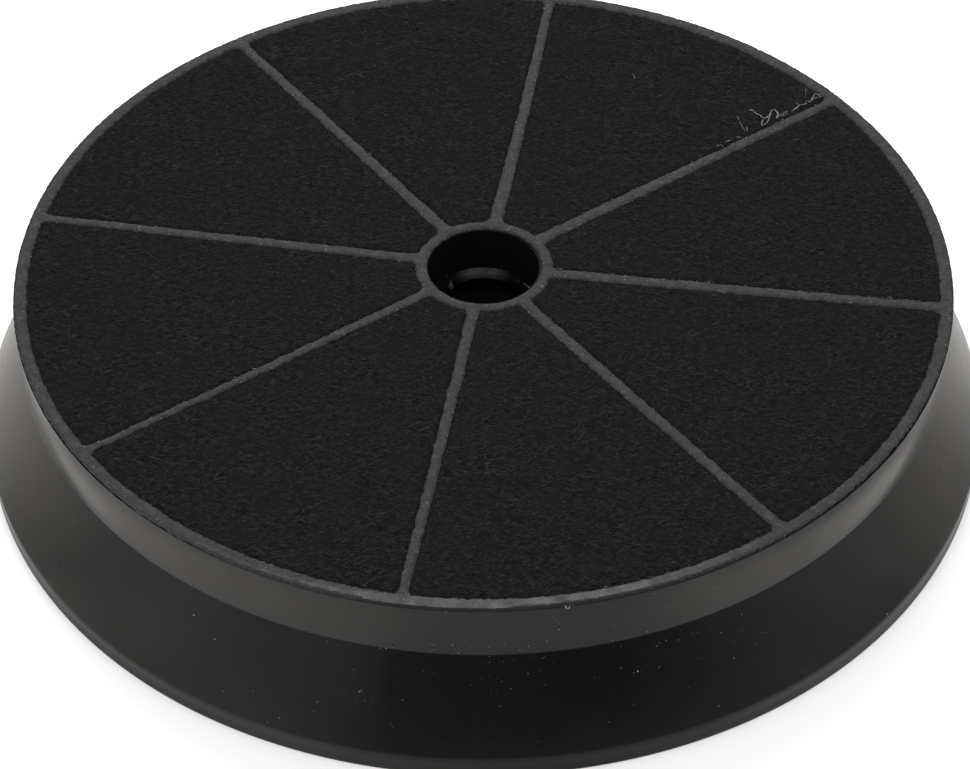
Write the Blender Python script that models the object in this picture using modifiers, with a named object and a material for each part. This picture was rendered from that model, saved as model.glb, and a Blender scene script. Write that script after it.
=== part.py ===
"""Cooker hood carbon filter: a round plastic housing with a flared skirt, filled with carbon granules.

Frame: Z up, origin at the middle of the foot, on the surface that the filter stands on.
The open skirt goes over the motor inlet, the welded fleece faces the kitchen. Lengths are metres.
"""
from math import asin, cos, pi, radians, sin

import bmesh
import bpy
from mathutils import Matrix

MM = 0.001

# Outer form of the housing
RIM_RADIUS = 96.0 * MM
COLLAR_TAPER = 0.4 * MM
COLLAR_HEIGHT = 13.2 * MM
SKIRT_FLARE = 9.4 * MM
SKIRT_HEIGHT = 19.4 * MM
SKIRT_SWELL = 0.15 * MM
FOOT_TAPER = 0.2 * MM
FOOT_HEIGHT = 4.2 * MM
COLLAR_WALL = 2.0 * MM
UPSTAND_WIDTH = 0.6 * MM
SKIRT_WALL = 2.0 * MM
FOOT_WALL = 2.2 * MM

# Hub with its bayonet ledge
HUB_BORE_RADIUS = 11.5 * MM
HUB_WALL = 1.9 * MM
HUB_DROP = 2.0 * MM
LEDGE_DEPTH = 10.7 * MM
LEDGE_THICKNESS = 1.6 * MM
LEDGE_REACH = 2.0 * MM
NOTCH_COUNT = 2
NOTCH_ANGLE = radians(36)
STOP_OFFSET = radians(9)
STOP_ANGLE = radians(9)
STOP_HEIGHT = 1.2 * MM
STOP_SETBACK = 0.3 * MM

# Partition ribs
RIB_COUNT = 8
RIB_TOP_WIDTH = 1.5 * MM
RIB_DRAFT = 0.25 * MM

# Fleece, and the seam that is melted through it
FLEECE_THICKNESS = 1.8 * MM
PRESSED_FLEECE = 0.5 * MM
SEAM_THICKNESS = 0.5 * MM
SEAM_STAND = 0.25 * MM
RIM_SEAM_WIDTH = 2.5 * MM
HUB_SEAM_WIDTH = 2.5 * MM
SPOKE_SEAM_WIDTH = 2.2 * MM
SEAM_FILLET = 1.4 * MM

# Carbon charges
CHARGE_CORNER = 1.0 * MM

# Base grille, the lower fleece on it and the bead that it snaps over
LOWER_FLEECE_THICKNESS = 1.2 * MM
GRILLE_THICKNESS = 2.1 * MM
GRILLE_BAR = 1.9 * MM
GRILLE_RIM = 2.4 * MM
BAR_INSET = 0.3 * MM
BAR_SINK = 0.6 * MM
BARS_PER_SECTOR = (2, 3, 4)
BEAD_REACH = 0.7 * MM
BEAD_HEIGHT = 0.8 * MM
SHOULDER_DROP = 2.0 * MM

CLEARANCE = 0.3 * MM
OVERRUN = 1.0 * MM
WELD_DISTANCE = 0.001 * MM
ROUND_STEPS = 64
HUB_STEPS = 48
SWELL_STEPS = 4
FILLET_STEPS = 4
ARC_STEPS = 8
STOP_STEPS = 2
SHARP_ANGLE = radians(20)

PLASTIC_BLACK = (0.0062, 0.0060, 0.0058)
SEAM_GREY = (0.040, 0.039, 0.039)
GRILLE_BLACK = (0.011, 0.011, 0.011)
FLEECE_BLACK = (0.010, 0.010, 0.010)
CARBON_BLACK = (0.006, 0.006, 0.006)

# Levels, from the foot up to the seam
CREASE = FOOT_HEIGHT + SKIRT_HEIGHT
SEAM_TOP = CREASE + COLLAR_HEIGHT
SEAM_BOTTOM = SEAM_TOP - SEAM_THICKNESS
PRESSED_TOP = SEAM_BOTTOM - CLEARANCE
PRESSED_BOTTOM = PRESSED_TOP - PRESSED_FLEECE
RIB_TOP = PRESSED_BOTTOM - CLEARANCE
UPSTAND_TOP = SEAM_BOTTOM - CLEARANCE
FLEECE_TOP = SEAM_TOP - SEAM_STAND
FLEECE_BOTTOM = FLEECE_TOP - FLEECE_THICKNESS
CHARGE_TOP = FLEECE_BOTTOM - CLEARANCE
LEDGE_TOP = SEAM_TOP - LEDGE_DEPTH
LEDGE_BOTTOM = LEDGE_TOP - LEDGE_THICKNESS
GRILLE_TOP = CREASE
GRILLE_BOTTOM = GRILLE_TOP - GRILLE_THICKNESS
LOWER_FLEECE_BOTTOM = GRILLE_TOP + CLEARANCE
LOWER_FLEECE_TOP = LOWER_FLEECE_BOTTOM + LOWER_FLEECE_THICKNESS
RIB_BOTTOM = LOWER_FLEECE_TOP + CLEARANCE
BEAD_TOP = GRILLE_BOTTOM - CLEARANCE
BEAD_BOTTOM = BEAD_TOP - BEAD_HEIGHT
SHOULDER = BEAD_BOTTOM - SHOULDER_DROP
HUB_BOTTOM = GRILLE_BOTTOM - HUB_DROP

# Radii, from the middle out
HUB_RADIUS = HUB_BORE_RADIUS + HUB_WALL
HUB_CORE = HUB_BORE_RADIUS + HUB_WALL / 2
LEDGE_RADIUS = HUB_BORE_RADIUS - LEDGE_REACH
CREASE_RADIUS = RIM_RADIUS - COLLAR_TAPER
FLEECE_BORE = HUB_BORE_RADIUS + UPSTAND_WIDTH + CLEARANCE
FLEECE_RADIUS = RIM_RADIUS - UPSTAND_WIDTH - CLEARANCE
SKIRT_RADIUS = CREASE_RADIUS + SKIRT_FLARE
FOOT_RADIUS = SKIRT_RADIUS - FOOT_TAPER
BED_RADIUS = CREASE_RADIUS - COLLAR_WALL
COLLAR_CORE = CREASE_RADIUS - COLLAR_WALL / 2
CHARGE_RADIUS = BED_RADIUS - CLEARANCE
CHARGE_BORE = HUB_RADIUS + CLEARANCE

SECTOR = 2 * pi / RIB_COUNT


def clear_scene():
    """Take every object and collection out of the open file."""
    for item in list(bpy.data.objects):
        bpy.data.objects.remove(item, do_unlink=True)
    for group in list(bpy.data.collections):
        bpy.data.collections.remove(group)


def new_collection(name):
    """A collection linked to the scene."""
    group = bpy.data.collections.new(name)
    bpy.context.scene.collection.children.link(group)
    return group


def new_material(name, color, roughness):
    """A plain, non-metallic Principled material."""
    material = bpy.data.materials.new(name)
    material.use_nodes = True
    shader = material.node_tree.nodes["Principled BSDF"]
    shader.inputs["Base Color"].default_value = (*color, 1.0)
    shader.inputs["Roughness"].default_value = roughness
    shader.inputs["Metallic"].default_value = 0.0
    material.diffuse_color = (*color, 1.0)
    return material


def place(name, data, group, material=None):
    """An object in a collection: a part if it has a material, otherwise a construction body."""
    item = bpy.data.objects.new(name, data)
    group.objects.link(item)
    if material:
        data.materials.append(material)
    else:
        item.hide_render = True
        item.display_type = "WIRE"
    return item


def to_mesh(name, form):
    """Turn a bmesh into a mesh with its faces pointing out."""
    bmesh.ops.recalc_face_normals(form, faces=form.faces)
    mesh = bpy.data.meshes.new(name)
    form.to_mesh(mesh)
    form.free()
    return mesh


def turned(name, profiles, steps, group, material=None):
    """A body turned from closed (radius, height) outlines, each of which runs down its outer side first."""
    form = bmesh.new()
    for profile in profiles:
        corners = [form.verts.new((radius, 0.0, height)) for radius, height in profile]
        for here, there in zip(corners, corners[1:] + corners[:1]):
            form.edges.new((here, there))
    mesh = bpy.data.meshes.new(name)
    form.to_mesh(mesh)
    form.free()
    item = place(name, mesh, group, material)
    screw = item.modifiers.new("turn", "SCREW")
    screw.axis = "Z"
    screw.angle = 2 * pi
    screw.steps = steps
    screw.render_steps = steps
    screw.use_merge_vertices = True
    screw.merge_threshold = WELD_DISTANCE
    return item


def ring_profile(inner, outer, bottom, top):
    """Outline of a plain ring's section."""
    return [(outer, top), (outer, bottom), (inner, bottom), (inner, top)]


def join(item, other):
    """Melt another body into this one."""
    union = item.modifiers.new("join " + other.name, "BOOLEAN")
    union.operation = "UNION"
    union.solver = "EXACT"
    union.object = other


def cut(item, cutter):
    """Take a cutter's volume away."""
    difference = item.modifiers.new("cut " + cutter.name, "BOOLEAN")
    difference.operation = "DIFFERENCE"
    difference.solver = "EXACT"
    difference.object = cutter


def settle(item):
    """Apply the modifiers, then shade round faces smooth and keep the corners sharp."""
    bpy.context.view_layer.update()
    finished = item.evaluated_get(bpy.context.evaluated_depsgraph_get())
    mesh = bpy.data.meshes.new_from_object(finished)
    first = item.data
    item.modifiers.clear()
    item.data = mesh
    bpy.data.meshes.remove(first)
    mesh.name = item.name
    mesh.shade_smooth()
    mesh.set_sharp_from_angle(angle=SHARP_ANGLE)


def polar(radius, angle, centre=(0.0, 0.0)):
    """A point at an angle round a centre."""
    return (centre[0] + radius * cos(angle), centre[1] + radius * sin(angle))


def arc(centre, radius, start, end, steps):
    """Points along an arc, both ends included."""
    return [polar(radius, start + (end - start) * step / steps, centre) for step in range(steps + 1)]


def window_outline(inner, outer, half_width, fillet):
    """Outline of the window between the spoke at angle 0 and the next one, with rounded corners."""
    far = outer - fillet
    near = inner + fillet
    far_turn = asin((half_width + fillet) / far)
    near_turn = asin((half_width + fillet) / near)
    far_end = SECTOR - far_turn
    near_end = SECTOR - near_turn
    outline = arc(polar(far, far_turn), fillet, -pi / 2, far_turn, FILLET_STEPS)
    outline += arc((0.0, 0.0), outer, far_turn, far_end, ARC_STEPS)[1:-1]
    outline += arc(polar(far, far_end), fillet, far_end, SECTOR + pi / 2, FILLET_STEPS)
    outline += arc(polar(near, near_end), fillet, SECTOR + pi / 2, near_end + pi, FILLET_STEPS)
    outline += arc((0.0, 0.0), inner, near_end, near_turn, FILLET_STEPS)[1:-1]
    outline += arc(polar(near, near_turn), fillet, pi + near_turn, 3 * pi / 2, FILLET_STEPS)
    return outline


def turn_points(points, angle):
    """The same points carried round the Z axis."""
    return [(x * cos(angle) - y * sin(angle), x * sin(angle) + y * cos(angle)) for x, y in points]


def extruded(name, outlines, bottom, top, group, material=None):
    """A flat body with the given closed outlines, the inner ones being holes, made by a filled curve."""
    curve = bpy.data.curves.new(name, "CURVE")
    curve.dimensions = "2D"
    curve.fill_mode = "BOTH"
    curve.extrude = (top - bottom) / 2
    for outline in outlines:
        spline = curve.splines.new("POLY")
        spline.points.add(len(outline) - 1)
        for point, (x, y) in zip(spline.points, outline):
            point.co = (x, y, 0.0, 1.0)
        spline.use_cyclic_u = True
    drawn = bpy.data.objects.new(name + "_outline", curve)
    drawn.location.z = (bottom + top) / 2
    group.objects.link(drawn)
    bpy.context.view_layer.update()
    mesh = bpy.data.meshes.new_from_object(drawn.evaluated_get(bpy.context.evaluated_depsgraph_get()))
    form = bmesh.new()
    form.from_mesh(mesh)
    bmesh.ops.remove_doubles(form, verts=form.verts, dist=WELD_DISTANCE)
    bpy.data.meshes.remove(mesh)
    item = place(name, to_mesh(name, form), group, material)
    item.matrix_world = drawn.matrix_world
    bpy.data.objects.remove(drawn, do_unlink=True)
    return item


def web(name, bore, hub_edge, rim_edge, outer, half_width, fillet, bottom, top, group, material=None):
    """A flat web: a rim ring and a hub ring joined by the spokes, with a window in each sector."""
    window = window_outline(hub_edge, rim_edge, half_width, fillet)
    outlines = [arc((0.0, 0.0), outer, 0.0, 2 * pi, ROUND_STEPS)[:-1]]
    outlines.append(arc((0.0, 0.0), bore, 0.0, 2 * pi, HUB_STEPS)[:-1])
    outlines += [turn_points(window, number * SECTOR) for number in range(RIB_COUNT)]
    return extruded(name, outlines, bottom, top, group, material)


def radial_blocks(form, count, inner, outer, half_bottom, half_top, bottom, top):
    """Add straight radial bars to a bmesh, evenly spaced from angle 0, wider at the bottom where drafted."""
    for number in range(count):
        corners = bmesh.ops.create_cube(form, size=2.0)["verts"]
        for corner in corners:
            upper = corner.co.z > 0
            corner.co.x = outer if corner.co.x > 0 else inner
            corner.co.y *= half_top if upper else half_bottom
            corner.co.z = top if upper else bottom
        turn = Matrix.Rotation(2 * pi * number / count, 3, "Z")
        bmesh.ops.rotate(form, verts=corners, cent=(0.0, 0.0, 0.0), matrix=turn)


def arc_blocks(name, inner, outer, bottom, top, start, sweep, steps, group):
    """Ring segments, one for each bayonet notch: a section that is spun through an angle."""
    form = bmesh.new()
    for number in range(NOTCH_COUNT):
        turn = Matrix.Rotation(start + 2 * pi * number / NOTCH_COUNT, 3, "Z")
        section = ring_profile(inner, outer, bottom, top)
        face = form.faces.new([form.verts.new((radius, 0.0, height)) for radius, height in section])
        bmesh.ops.rotate(form, verts=face.verts, cent=(0.0, 0.0, 0.0), matrix=turn)
        bmesh.ops.spin(form, geom=[face], cent=(0.0, 0.0, 0.0), axis=(0.0, 0.0, 1.0),
                       angle=sweep, steps=steps)
    return place(name, to_mesh(name, form), group)


def skirt_line(offset, steps):
    """Points down the swollen skirt from the crease to the lip, moved inwards by the offset."""
    points = []
    for step in range(steps + 1):
        share = step / steps
        swell = 4 * SKIRT_SWELL * share * (1 - share)
        points.append((CREASE_RADIUS + SKIRT_FLARE * share + swell - offset, CREASE - SKIRT_HEIGHT * share))
    return points


def make_housing(parts, construction):
    """The moulding: collar, skirt and foot, the ribs, and the hub with its two-part bayonet ledge.

    A thin upstand on the collar and on the hub stands round the edge of the fleece.
    """
    rim_radius = RIM_RADIUS - COLLAR_TAPER * (SEAM_TOP - UPSTAND_TOP) / COLLAR_HEIGHT
    outside = [(rim_radius, UPSTAND_TOP)] + skirt_line(0.0, SWELL_STEPS)
    outside.append((FOOT_RADIUS, 0.0))
    inside = [point for point in skirt_line(SKIRT_WALL, SWELL_STEPS) if point[1] < SHOULDER]
    inside.reverse()
    profile = outside + [(FOOT_RADIUS - FOOT_WALL, 0.0)] + inside
    profile.append((BED_RADIUS, BEAD_BOTTOM))
    profile.append((BED_RADIUS - BEAD_REACH, (BEAD_BOTTOM + BEAD_TOP) / 2))
    profile.append((BED_RADIUS, BEAD_TOP))
    profile.append((BED_RADIUS, RIB_TOP))
    profile.append((rim_radius - UPSTAND_WIDTH, RIB_TOP))
    profile.append((rim_radius - UPSTAND_WIDTH, UPSTAND_TOP))
    housing = turned("housing", [profile], ROUND_STEPS, parts,
                     new_material("black gloss plastic", PLASTIC_BLACK, 0.25))

    form = bmesh.new()
    radial_blocks(form, RIB_COUNT, HUB_CORE, COLLAR_CORE, RIB_TOP_WIDTH / 2 + RIB_DRAFT, RIB_TOP_WIDTH / 2,
                  RIB_BOTTOM, RIB_TOP)
    join(housing, place("ribs", to_mesh("ribs", form), construction))

    upstand = HUB_BORE_RADIUS + UPSTAND_WIDTH
    tube = [(upstand, UPSTAND_TOP), (upstand, RIB_TOP), (HUB_RADIUS, RIB_TOP), (HUB_RADIUS, HUB_BOTTOM),
            (HUB_BORE_RADIUS, HUB_BOTTOM), (HUB_BORE_RADIUS, UPSTAND_TOP)]
    join(housing, turned("hub_tube", [tube], HUB_STEPS, construction))

    ledge_sweep = 2 * pi / NOTCH_COUNT - NOTCH_ANGLE
    join(housing, arc_blocks("ledge", LEDGE_RADIUS, HUB_CORE, LEDGE_BOTTOM, LEDGE_TOP,
                             NOTCH_ANGLE / 2, ledge_sweep, HUB_STEPS // 2 // NOTCH_COUNT, construction))
    join(housing, arc_blocks("stops", LEDGE_RADIUS + STOP_SETBACK, HUB_CORE, LEDGE_TOP - LEDGE_THICKNESS / 2,
                             LEDGE_TOP + STOP_HEIGHT, NOTCH_ANGLE / 2 + STOP_OFFSET, STOP_ANGLE,
                             STOP_STEPS, construction))
    settle(housing)


def make_seam(parts):
    """The rough track of plastic that has come up through the fleece on the rim, the ribs and the hub."""
    seam = web("weld_seam", HUB_BORE_RADIUS, HUB_BORE_RADIUS + HUB_SEAM_WIDTH, RIM_RADIUS - RIM_SEAM_WIDTH,
               RIM_RADIUS, SPOKE_SEAM_WIDTH / 2, SEAM_FILLET, SEAM_BOTTOM, SEAM_TOP, parts,
               new_material("melted plastic", SEAM_GREY, 0.6))
    settle(seam)


def make_upper_fleece(parts, construction):
    """One felt disc: full thickness in the windows, pressed thin between the seam and the housing."""
    disc = ring_profile(FLEECE_BORE, FLEECE_RADIUS, FLEECE_BOTTOM, FLEECE_TOP)
    fleece = turned("upper_fleece", [disc], ROUND_STEPS, parts,
                    new_material("black fleece", FLEECE_BLACK, 0.95))
    cut(fleece, web("seam_track", HUB_BORE_RADIUS - OVERRUN, HUB_BORE_RADIUS + HUB_SEAM_WIDTH + CLEARANCE,
                    RIM_RADIUS - RIM_SEAM_WIDTH - CLEARANCE, RIM_RADIUS + OVERRUN,
                    SPOKE_SEAM_WIDTH / 2 + CLEARANCE, SEAM_FILLET - CLEARANCE,
                    PRESSED_TOP, SEAM_TOP + OVERRUN, construction))
    cut(fleece, web("rib_track", HUB_BORE_RADIUS - OVERRUN, HUB_RADIUS + CLEARANCE,
                    BED_RADIUS - CLEARANCE, RIM_RADIUS + OVERRUN,
                    RIB_TOP_WIDTH / 2 + CLEARANCE, CHARGE_CORNER,
                    FLEECE_BOTTOM - OVERRUN, PRESSED_BOTTOM, construction))
    settle(fleece)


def make_lower_fleece(parts):
    """A plain felt disc, held between the ribs and the grille."""
    disc = ring_profile(CHARGE_BORE, CHARGE_RADIUS, LOWER_FLEECE_BOTTOM, LOWER_FLEECE_TOP)
    settle(turned("lower_fleece", [disc], ROUND_STEPS, parts,
                  new_material("black lower fleece", FLEECE_BLACK, 0.95)))


def make_grille(parts, construction):
    """The snapped-in grille: concentric rings, and radial bars that get more numerous outwards."""
    first = CHARGE_BORE + GRILLE_RIM
    last = CHARGE_RADIUS - GRILLE_RIM
    rows = len(BARS_PER_SECTOR)
    depth = (last - first - (rows - 1) * GRILLE_BAR) / rows
    pitch = depth + GRILLE_BAR
    rings = [ring_profile(CHARGE_BORE, first, GRILLE_BOTTOM, GRILLE_TOP)]
    for row in range(1, rows):
        outer = first + row * pitch
        rings.append(ring_profile(outer - GRILLE_BAR, outer, GRILLE_BOTTOM, GRILLE_TOP))
    rings.append(ring_profile(last, CHARGE_RADIUS, GRILLE_BOTTOM, GRILLE_TOP))
    grille = turned("base_grille", rings, ROUND_STEPS, parts,
                    new_material("black grille plastic", GRILLE_BLACK, 0.45))

    form = bmesh.new()
    for row, bars in enumerate(BARS_PER_SECTOR):
        start = first + row * pitch
        radial_blocks(form, bars * RIB_COUNT, start - BAR_SINK, start + depth + BAR_SINK,
                      GRILLE_BAR / 2, GRILLE_BAR / 2, GRILLE_BOTTOM + BAR_INSET, GRILLE_TOP - BAR_INSET)
    join(grille, place("grille_bars", to_mesh("grille_bars", form), construction))
    settle(grille)


def make_charges(parts):
    """The carbon granules of each compartment, as one body that fills it."""
    half_rib = RIB_TOP_WIDTH / 2 + RIB_DRAFT
    outline = window_outline(CHARGE_BORE, CHARGE_RADIUS, half_rib + CLEARANCE, CHARGE_CORNER)
    first = extruded("carbon_charge_1", [outline], RIB_BOTTOM, CHARGE_TOP, parts,
                     new_material("carbon granules", CARBON_BLACK, 0.9))
    settle(first)
    for number in range(1, RIB_COUNT):
        charge = bpy.data.objects.new("carbon_charge_%d" % (number + 1), first.data)
        parts.objects.link(charge)
        charge.location = first.location
        charge.rotation_euler.z = number * SECTOR


clear_scene()
filter_parts = new_collection("cooker hood carbon filter")
construction_bodies = new_collection("construction")
make_housing(filter_parts, construction_bodies)
make_upper_fleece(filter_parts, construction_bodies)
make_seam(filter_parts)
make_charges(filter_parts)
make_lower_fleece(filter_parts)
make_grille(filter_parts, construction_bodies)
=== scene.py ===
from math import atan, atan2, cos, hypot, pi, radians, sin
from random import Random

import bmesh
import bpy
from mathutils import Matrix, Vector, noise


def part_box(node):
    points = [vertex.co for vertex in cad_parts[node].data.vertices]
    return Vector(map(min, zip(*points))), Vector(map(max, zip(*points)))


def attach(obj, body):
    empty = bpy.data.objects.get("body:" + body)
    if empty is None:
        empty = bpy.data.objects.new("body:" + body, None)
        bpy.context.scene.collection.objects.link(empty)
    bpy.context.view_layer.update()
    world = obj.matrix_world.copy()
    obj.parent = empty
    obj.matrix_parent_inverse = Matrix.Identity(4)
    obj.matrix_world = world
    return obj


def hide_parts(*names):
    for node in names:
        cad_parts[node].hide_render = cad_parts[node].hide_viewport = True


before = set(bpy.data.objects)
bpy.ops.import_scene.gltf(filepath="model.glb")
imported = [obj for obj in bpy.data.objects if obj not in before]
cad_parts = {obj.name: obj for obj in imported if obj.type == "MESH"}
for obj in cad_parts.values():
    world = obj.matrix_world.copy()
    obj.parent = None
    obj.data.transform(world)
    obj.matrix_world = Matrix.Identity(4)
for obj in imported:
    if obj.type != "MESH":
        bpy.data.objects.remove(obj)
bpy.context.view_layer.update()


# Camera
# A long lens looks down on the filter from the front. The hub stands a little above the middle of the
# picture, and the foot runs just out of it at the bottom.
MM = 0.001
IMAGE_WIDTH = 970
IMAGE_HEIGHT = 769
SENSOR_WIDTH = 36.0
FOCAL_PIXELS = 2950.4
HUB_PIXEL = (483.2, 264.0)
VIEW_TURN = radians(9.5)
VIEW_ELEVATION = radians(40.6)
VIEW_ROLL = radians(-0.35)
VIEW_DISTANCE = 607.1 * MM
PICTURE_RIGHT = Vector((cos(VIEW_TURN), sin(VIEW_TURN), 0.0))
PICTURE_NEAR = Vector((sin(VIEW_TURN), -cos(VIEW_TURN), 0.0))

hub_middle = Vector((0.0, 0.0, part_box("weld_seam")[1][2]))
toward_camera = Vector((sin(VIEW_TURN) * cos(VIEW_ELEVATION), -cos(VIEW_TURN) * cos(VIEW_ELEVATION),
                        sin(VIEW_ELEVATION)))
tilt_down = atan((IMAGE_HEIGHT / 2 - HUB_PIXEL[1]) / FOCAL_PIXELS)
turn_right = atan((HUB_PIXEL[0] - IMAGE_WIDTH / 2) / FOCAL_PIXELS)
lens = bpy.data.cameras.new("camera")
lens.lens = FOCAL_PIXELS * SENSOR_WIDTH / IMAGE_WIDTH
lens.sensor_width = SENSOR_WIDTH
lens.clip_start = 0.01
camera = bpy.data.objects.new("camera", lens)
bpy.context.scene.collection.objects.link(camera)
camera.matrix_world = (Matrix.Translation(hub_middle + VIEW_DISTANCE * toward_camera)
                       @ Matrix.Rotation(VIEW_TURN, 4, "Z")
                       @ Matrix.Rotation(pi / 2 - VIEW_ELEVATION, 4, "X")
                       @ Matrix.Rotation(VIEW_ROLL, 4, "Z")
                       @ Matrix.Rotation(-tilt_down, 4, "X")
                       @ Matrix.Rotation(turn_right, 4, "Y"))
bpy.context.scene.camera = camera
bpy.context.scene.view_settings.view_transform = "Standard"


# Housing
# One black injection moulding: a short collar, a sharp crease and a flared, slightly swollen skirt that
# ends in an upright foot. Inside it carries eight ribs and the hub tube with its two-part bayonet ledge.
RIM_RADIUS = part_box("weld_seam")[1][0]
SKIRT_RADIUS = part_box("housing")[1][0]
UPSTAND_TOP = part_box("housing")[1][2]
UPSTAND_WIDTH = 0.6 * MM
RIB_TOP = UPSTAND_TOP - 0.8 * MM
CREASE_RADIUS = RIM_RADIUS - 0.4 * MM
FOOT_RADIUS = SKIRT_RADIUS - 0.2 * MM
FOOT_HEIGHT = 4.2 * MM
CREASE = 23.6 * MM
SKIRT_SWELL = 0.15 * MM
SKIRT_WALL = 2.0 * MM
FOOT_WALL = 2.2 * MM
BED_RADIUS = CREASE_RADIUS - 2.0 * MM
SHOULDER = 18.4 * MM
BEAD_BOTTOM = 20.4 * MM
BEAD_HEIGHT = 0.8 * MM
BEAD_REACH = 0.7 * MM
SKIRT_POINTS = 12
ROUND_STEPS = 256
HUB_RADIUS = 13.4 * MM
HUB_BORE_RADIUS = 11.5 * MM
HUB_BOTTOM = 19.5 * MM
HUB_STEPS = 128
LEDGE_RADIUS = 9.5 * MM
LEDGE_TOP = 26.1 * MM
LEDGE_BOTTOM = 24.5 * MM
LEDGE_START = radians(18)
LEDGE_SWEEP = radians(144)
STOP_START = radians(27)
STOP_SWEEP = radians(9)
STOP_HEIGHT = 1.2 * MM
STOP_SETBACK = 0.3 * MM
RIB_COUNT = 8
RIB_BOTTOM = 25.4 * MM
RIB_HALF_TOP = 0.75 * MM
RIB_HALF_BOTTOM = 1.0 * MM
EDGE_ROUND = 0.3 * MM
LEDGE_ROUND = 0.12 * MM
LIP_ROUND = 0.5 * MM
RIB_ROUND = 0.35 * MM
CREASE_ROUND = 0.15 * MM
HELD = 0.45 * MM
UPSTAND_ROUND = 0.08 * MM
WALL_OVERLAP = 0.9 * MM
SHARP_ANGLE = radians(38)
PLASTIC_BLACK = (0.0062, 0.0060, 0.0058)
PLASTIC_ROUGHNESS = 0.17
PLASTIC_GLOSS = 0.5
# A pale patch of painted light on the ledge, where light from above falls on it: its colour and gloss, the
# radii between which it ends, and where it ends at the left and the right of the picture. The bore beside
# it is dull.
LEDGE_PAINTED_LIGHT = (0.085, 0.083, 0.082)
PAINTED_LIGHT_GLOSS = 0.02
PAINTED_LIGHT_REACH = (11.42 * MM, 11.30 * MM)
PAINTED_LIGHT_LEFT = (-6.0 * MM, -3.6 * MM)
PAINTED_LIGHT_RIGHT = (2.0 * MM, 5.6 * MM)
BORE_REACH = (12.3 * MM, 12.6 * MM)
BORE_DULLNESS = 0.04


def section_face(form, corners):
    """Draw a closed (radius, height, rounding) outline as a face in the XZ plane and round its corners."""
    verts = [form.verts.new((radius, 0.0, height)) for radius, height, rounding in corners]
    form.faces.new(verts)
    for size in sorted({rounding for radius, height, rounding in corners if rounding}):
        chosen = [vert for vert, corner in zip(verts, corners) if corner[2] == size]
        bmesh.ops.bevel(form, geom=chosen, offset=size, offset_type="OFFSET", affect="VERTICES",
                        segments=3, profile=0.5, material=-1)
    return form.faces[:]


def spun_ring(corners, steps):
    """A closed ring turned about the filter's axis from an outline."""
    form = bmesh.new()
    faces = section_face(form, corners)
    bmesh.ops.delete(form, geom=faces, context="FACES_ONLY")
    bmesh.ops.spin(form, geom=form.edges[:], cent=(0, 0, 0), axis=(0, 0, 1), angle=2 * pi, steps=steps,
                   use_merge=True)
    bmesh.ops.recalc_face_normals(form, faces=form.faces)
    return form


def spun_arc(corners, start, sweep, steps):
    """A ring segment from an outline, starting at an angle."""
    form = bmesh.new()
    faces = section_face(form, corners)
    bmesh.ops.rotate(form, verts=form.verts, cent=(0, 0, 0), matrix=Matrix.Rotation(start, 3, "Z"))
    bmesh.ops.spin(form, geom=faces, cent=(0, 0, 0), axis=(0, 0, 1), angle=sweep, steps=steps)
    bmesh.ops.recalc_face_normals(form, faces=form.faces)
    return form


def rib_block(angle, inner, outer, half_bottom, half_top, bottom, top, rounding):
    """A straight radial bar with rounded long edges, wider at the bottom where it is drafted."""
    form = bmesh.new()
    bmesh.ops.create_cube(form, size=2.0)
    for vert in form.verts:
        upper = vert.co.z > 0
        vert.co.x = outer if vert.co.x > 0 else inner
        vert.co.y *= half_top if upper else half_bottom
        vert.co.z = top if upper else bottom
    long_edges = [edge for edge in form.edges if edge.calc_length() > (outer - inner) * 0.9]
    bmesh.ops.bevel(form, geom=long_edges, offset=rounding, offset_type="OFFSET", affect="EDGES",
                    segments=2, profile=0.5, material=-1)
    bmesh.ops.rotate(form, verts=form.verts, cent=(0, 0, 0), matrix=Matrix.Rotation(angle, 3, "Z"))
    return form


def new_piece(name, form):
    """An object at the origin from a bmesh."""
    mesh = bpy.data.meshes.new(name)
    form.to_mesh(mesh)
    form.free()
    piece = bpy.data.objects.new(name, mesh)
    bpy.context.scene.collection.objects.link(piece)
    return piece


def finished_mesh(drawing):
    """The mesh that an object makes with its modifiers or its bevel."""
    bpy.context.view_layer.update()
    return bpy.data.meshes.new_from_object(drawing.evaluated_get(bpy.context.evaluated_depsgraph_get()))


def gathered(forms):
    """Several closed bodies in one bmesh, without joining them."""
    whole = bmesh.new()
    for form in forms:
        mesh = bpy.data.meshes.new("body")
        form.to_mesh(mesh)
        form.free()
        whole.from_mesh(mesh)
        bpy.data.meshes.remove(mesh)
    return whole


def moulded(name, groups):
    """One moulded piece from groups of closed bodies: those of one group stand clear of each other."""
    piece = new_piece(name, gathered(groups[0]))
    others = [new_piece(name + "_body", gathered(group)) for group in groups[1:]]
    for other in others:
        union = piece.modifiers.new("join", "BOOLEAN")
        union.operation = "UNION"
        union.solver = "EXACT"
        union.object = other
    first = piece.data
    finished = finished_mesh(piece)
    piece.modifiers.clear()
    piece.data = finished
    for mesh in [first] + [other.data for other in others]:
        bpy.data.meshes.remove(mesh)
    return piece


def shade(piece, angle=SHARP_ANGLE):
    """Shade round faces smooth and keep the corners sharp."""
    piece.data.shade_smooth()
    piece.data.set_sharp_from_angle(angle=angle)


def new_finish(name, color, roughness, specular=0.5):
    """A Principled material with the colour, roughness and gloss level that are the same all over."""
    material = bpy.data.materials.new(name)
    material.use_nodes = True
    shader = material.node_tree.nodes["Principled BSDF"]
    shader.inputs["Base Color"].default_value = (*color, 1.0)
    shader.inputs["Roughness"].default_value = roughness
    shader.inputs["Specular IOR Level"].default_value = specular
    return material


def own_place(material):
    """A point's place on the piece's own coordinates."""
    return material.node_tree.nodes.new("ShaderNodeTexCoord").outputs["Object"]


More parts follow.
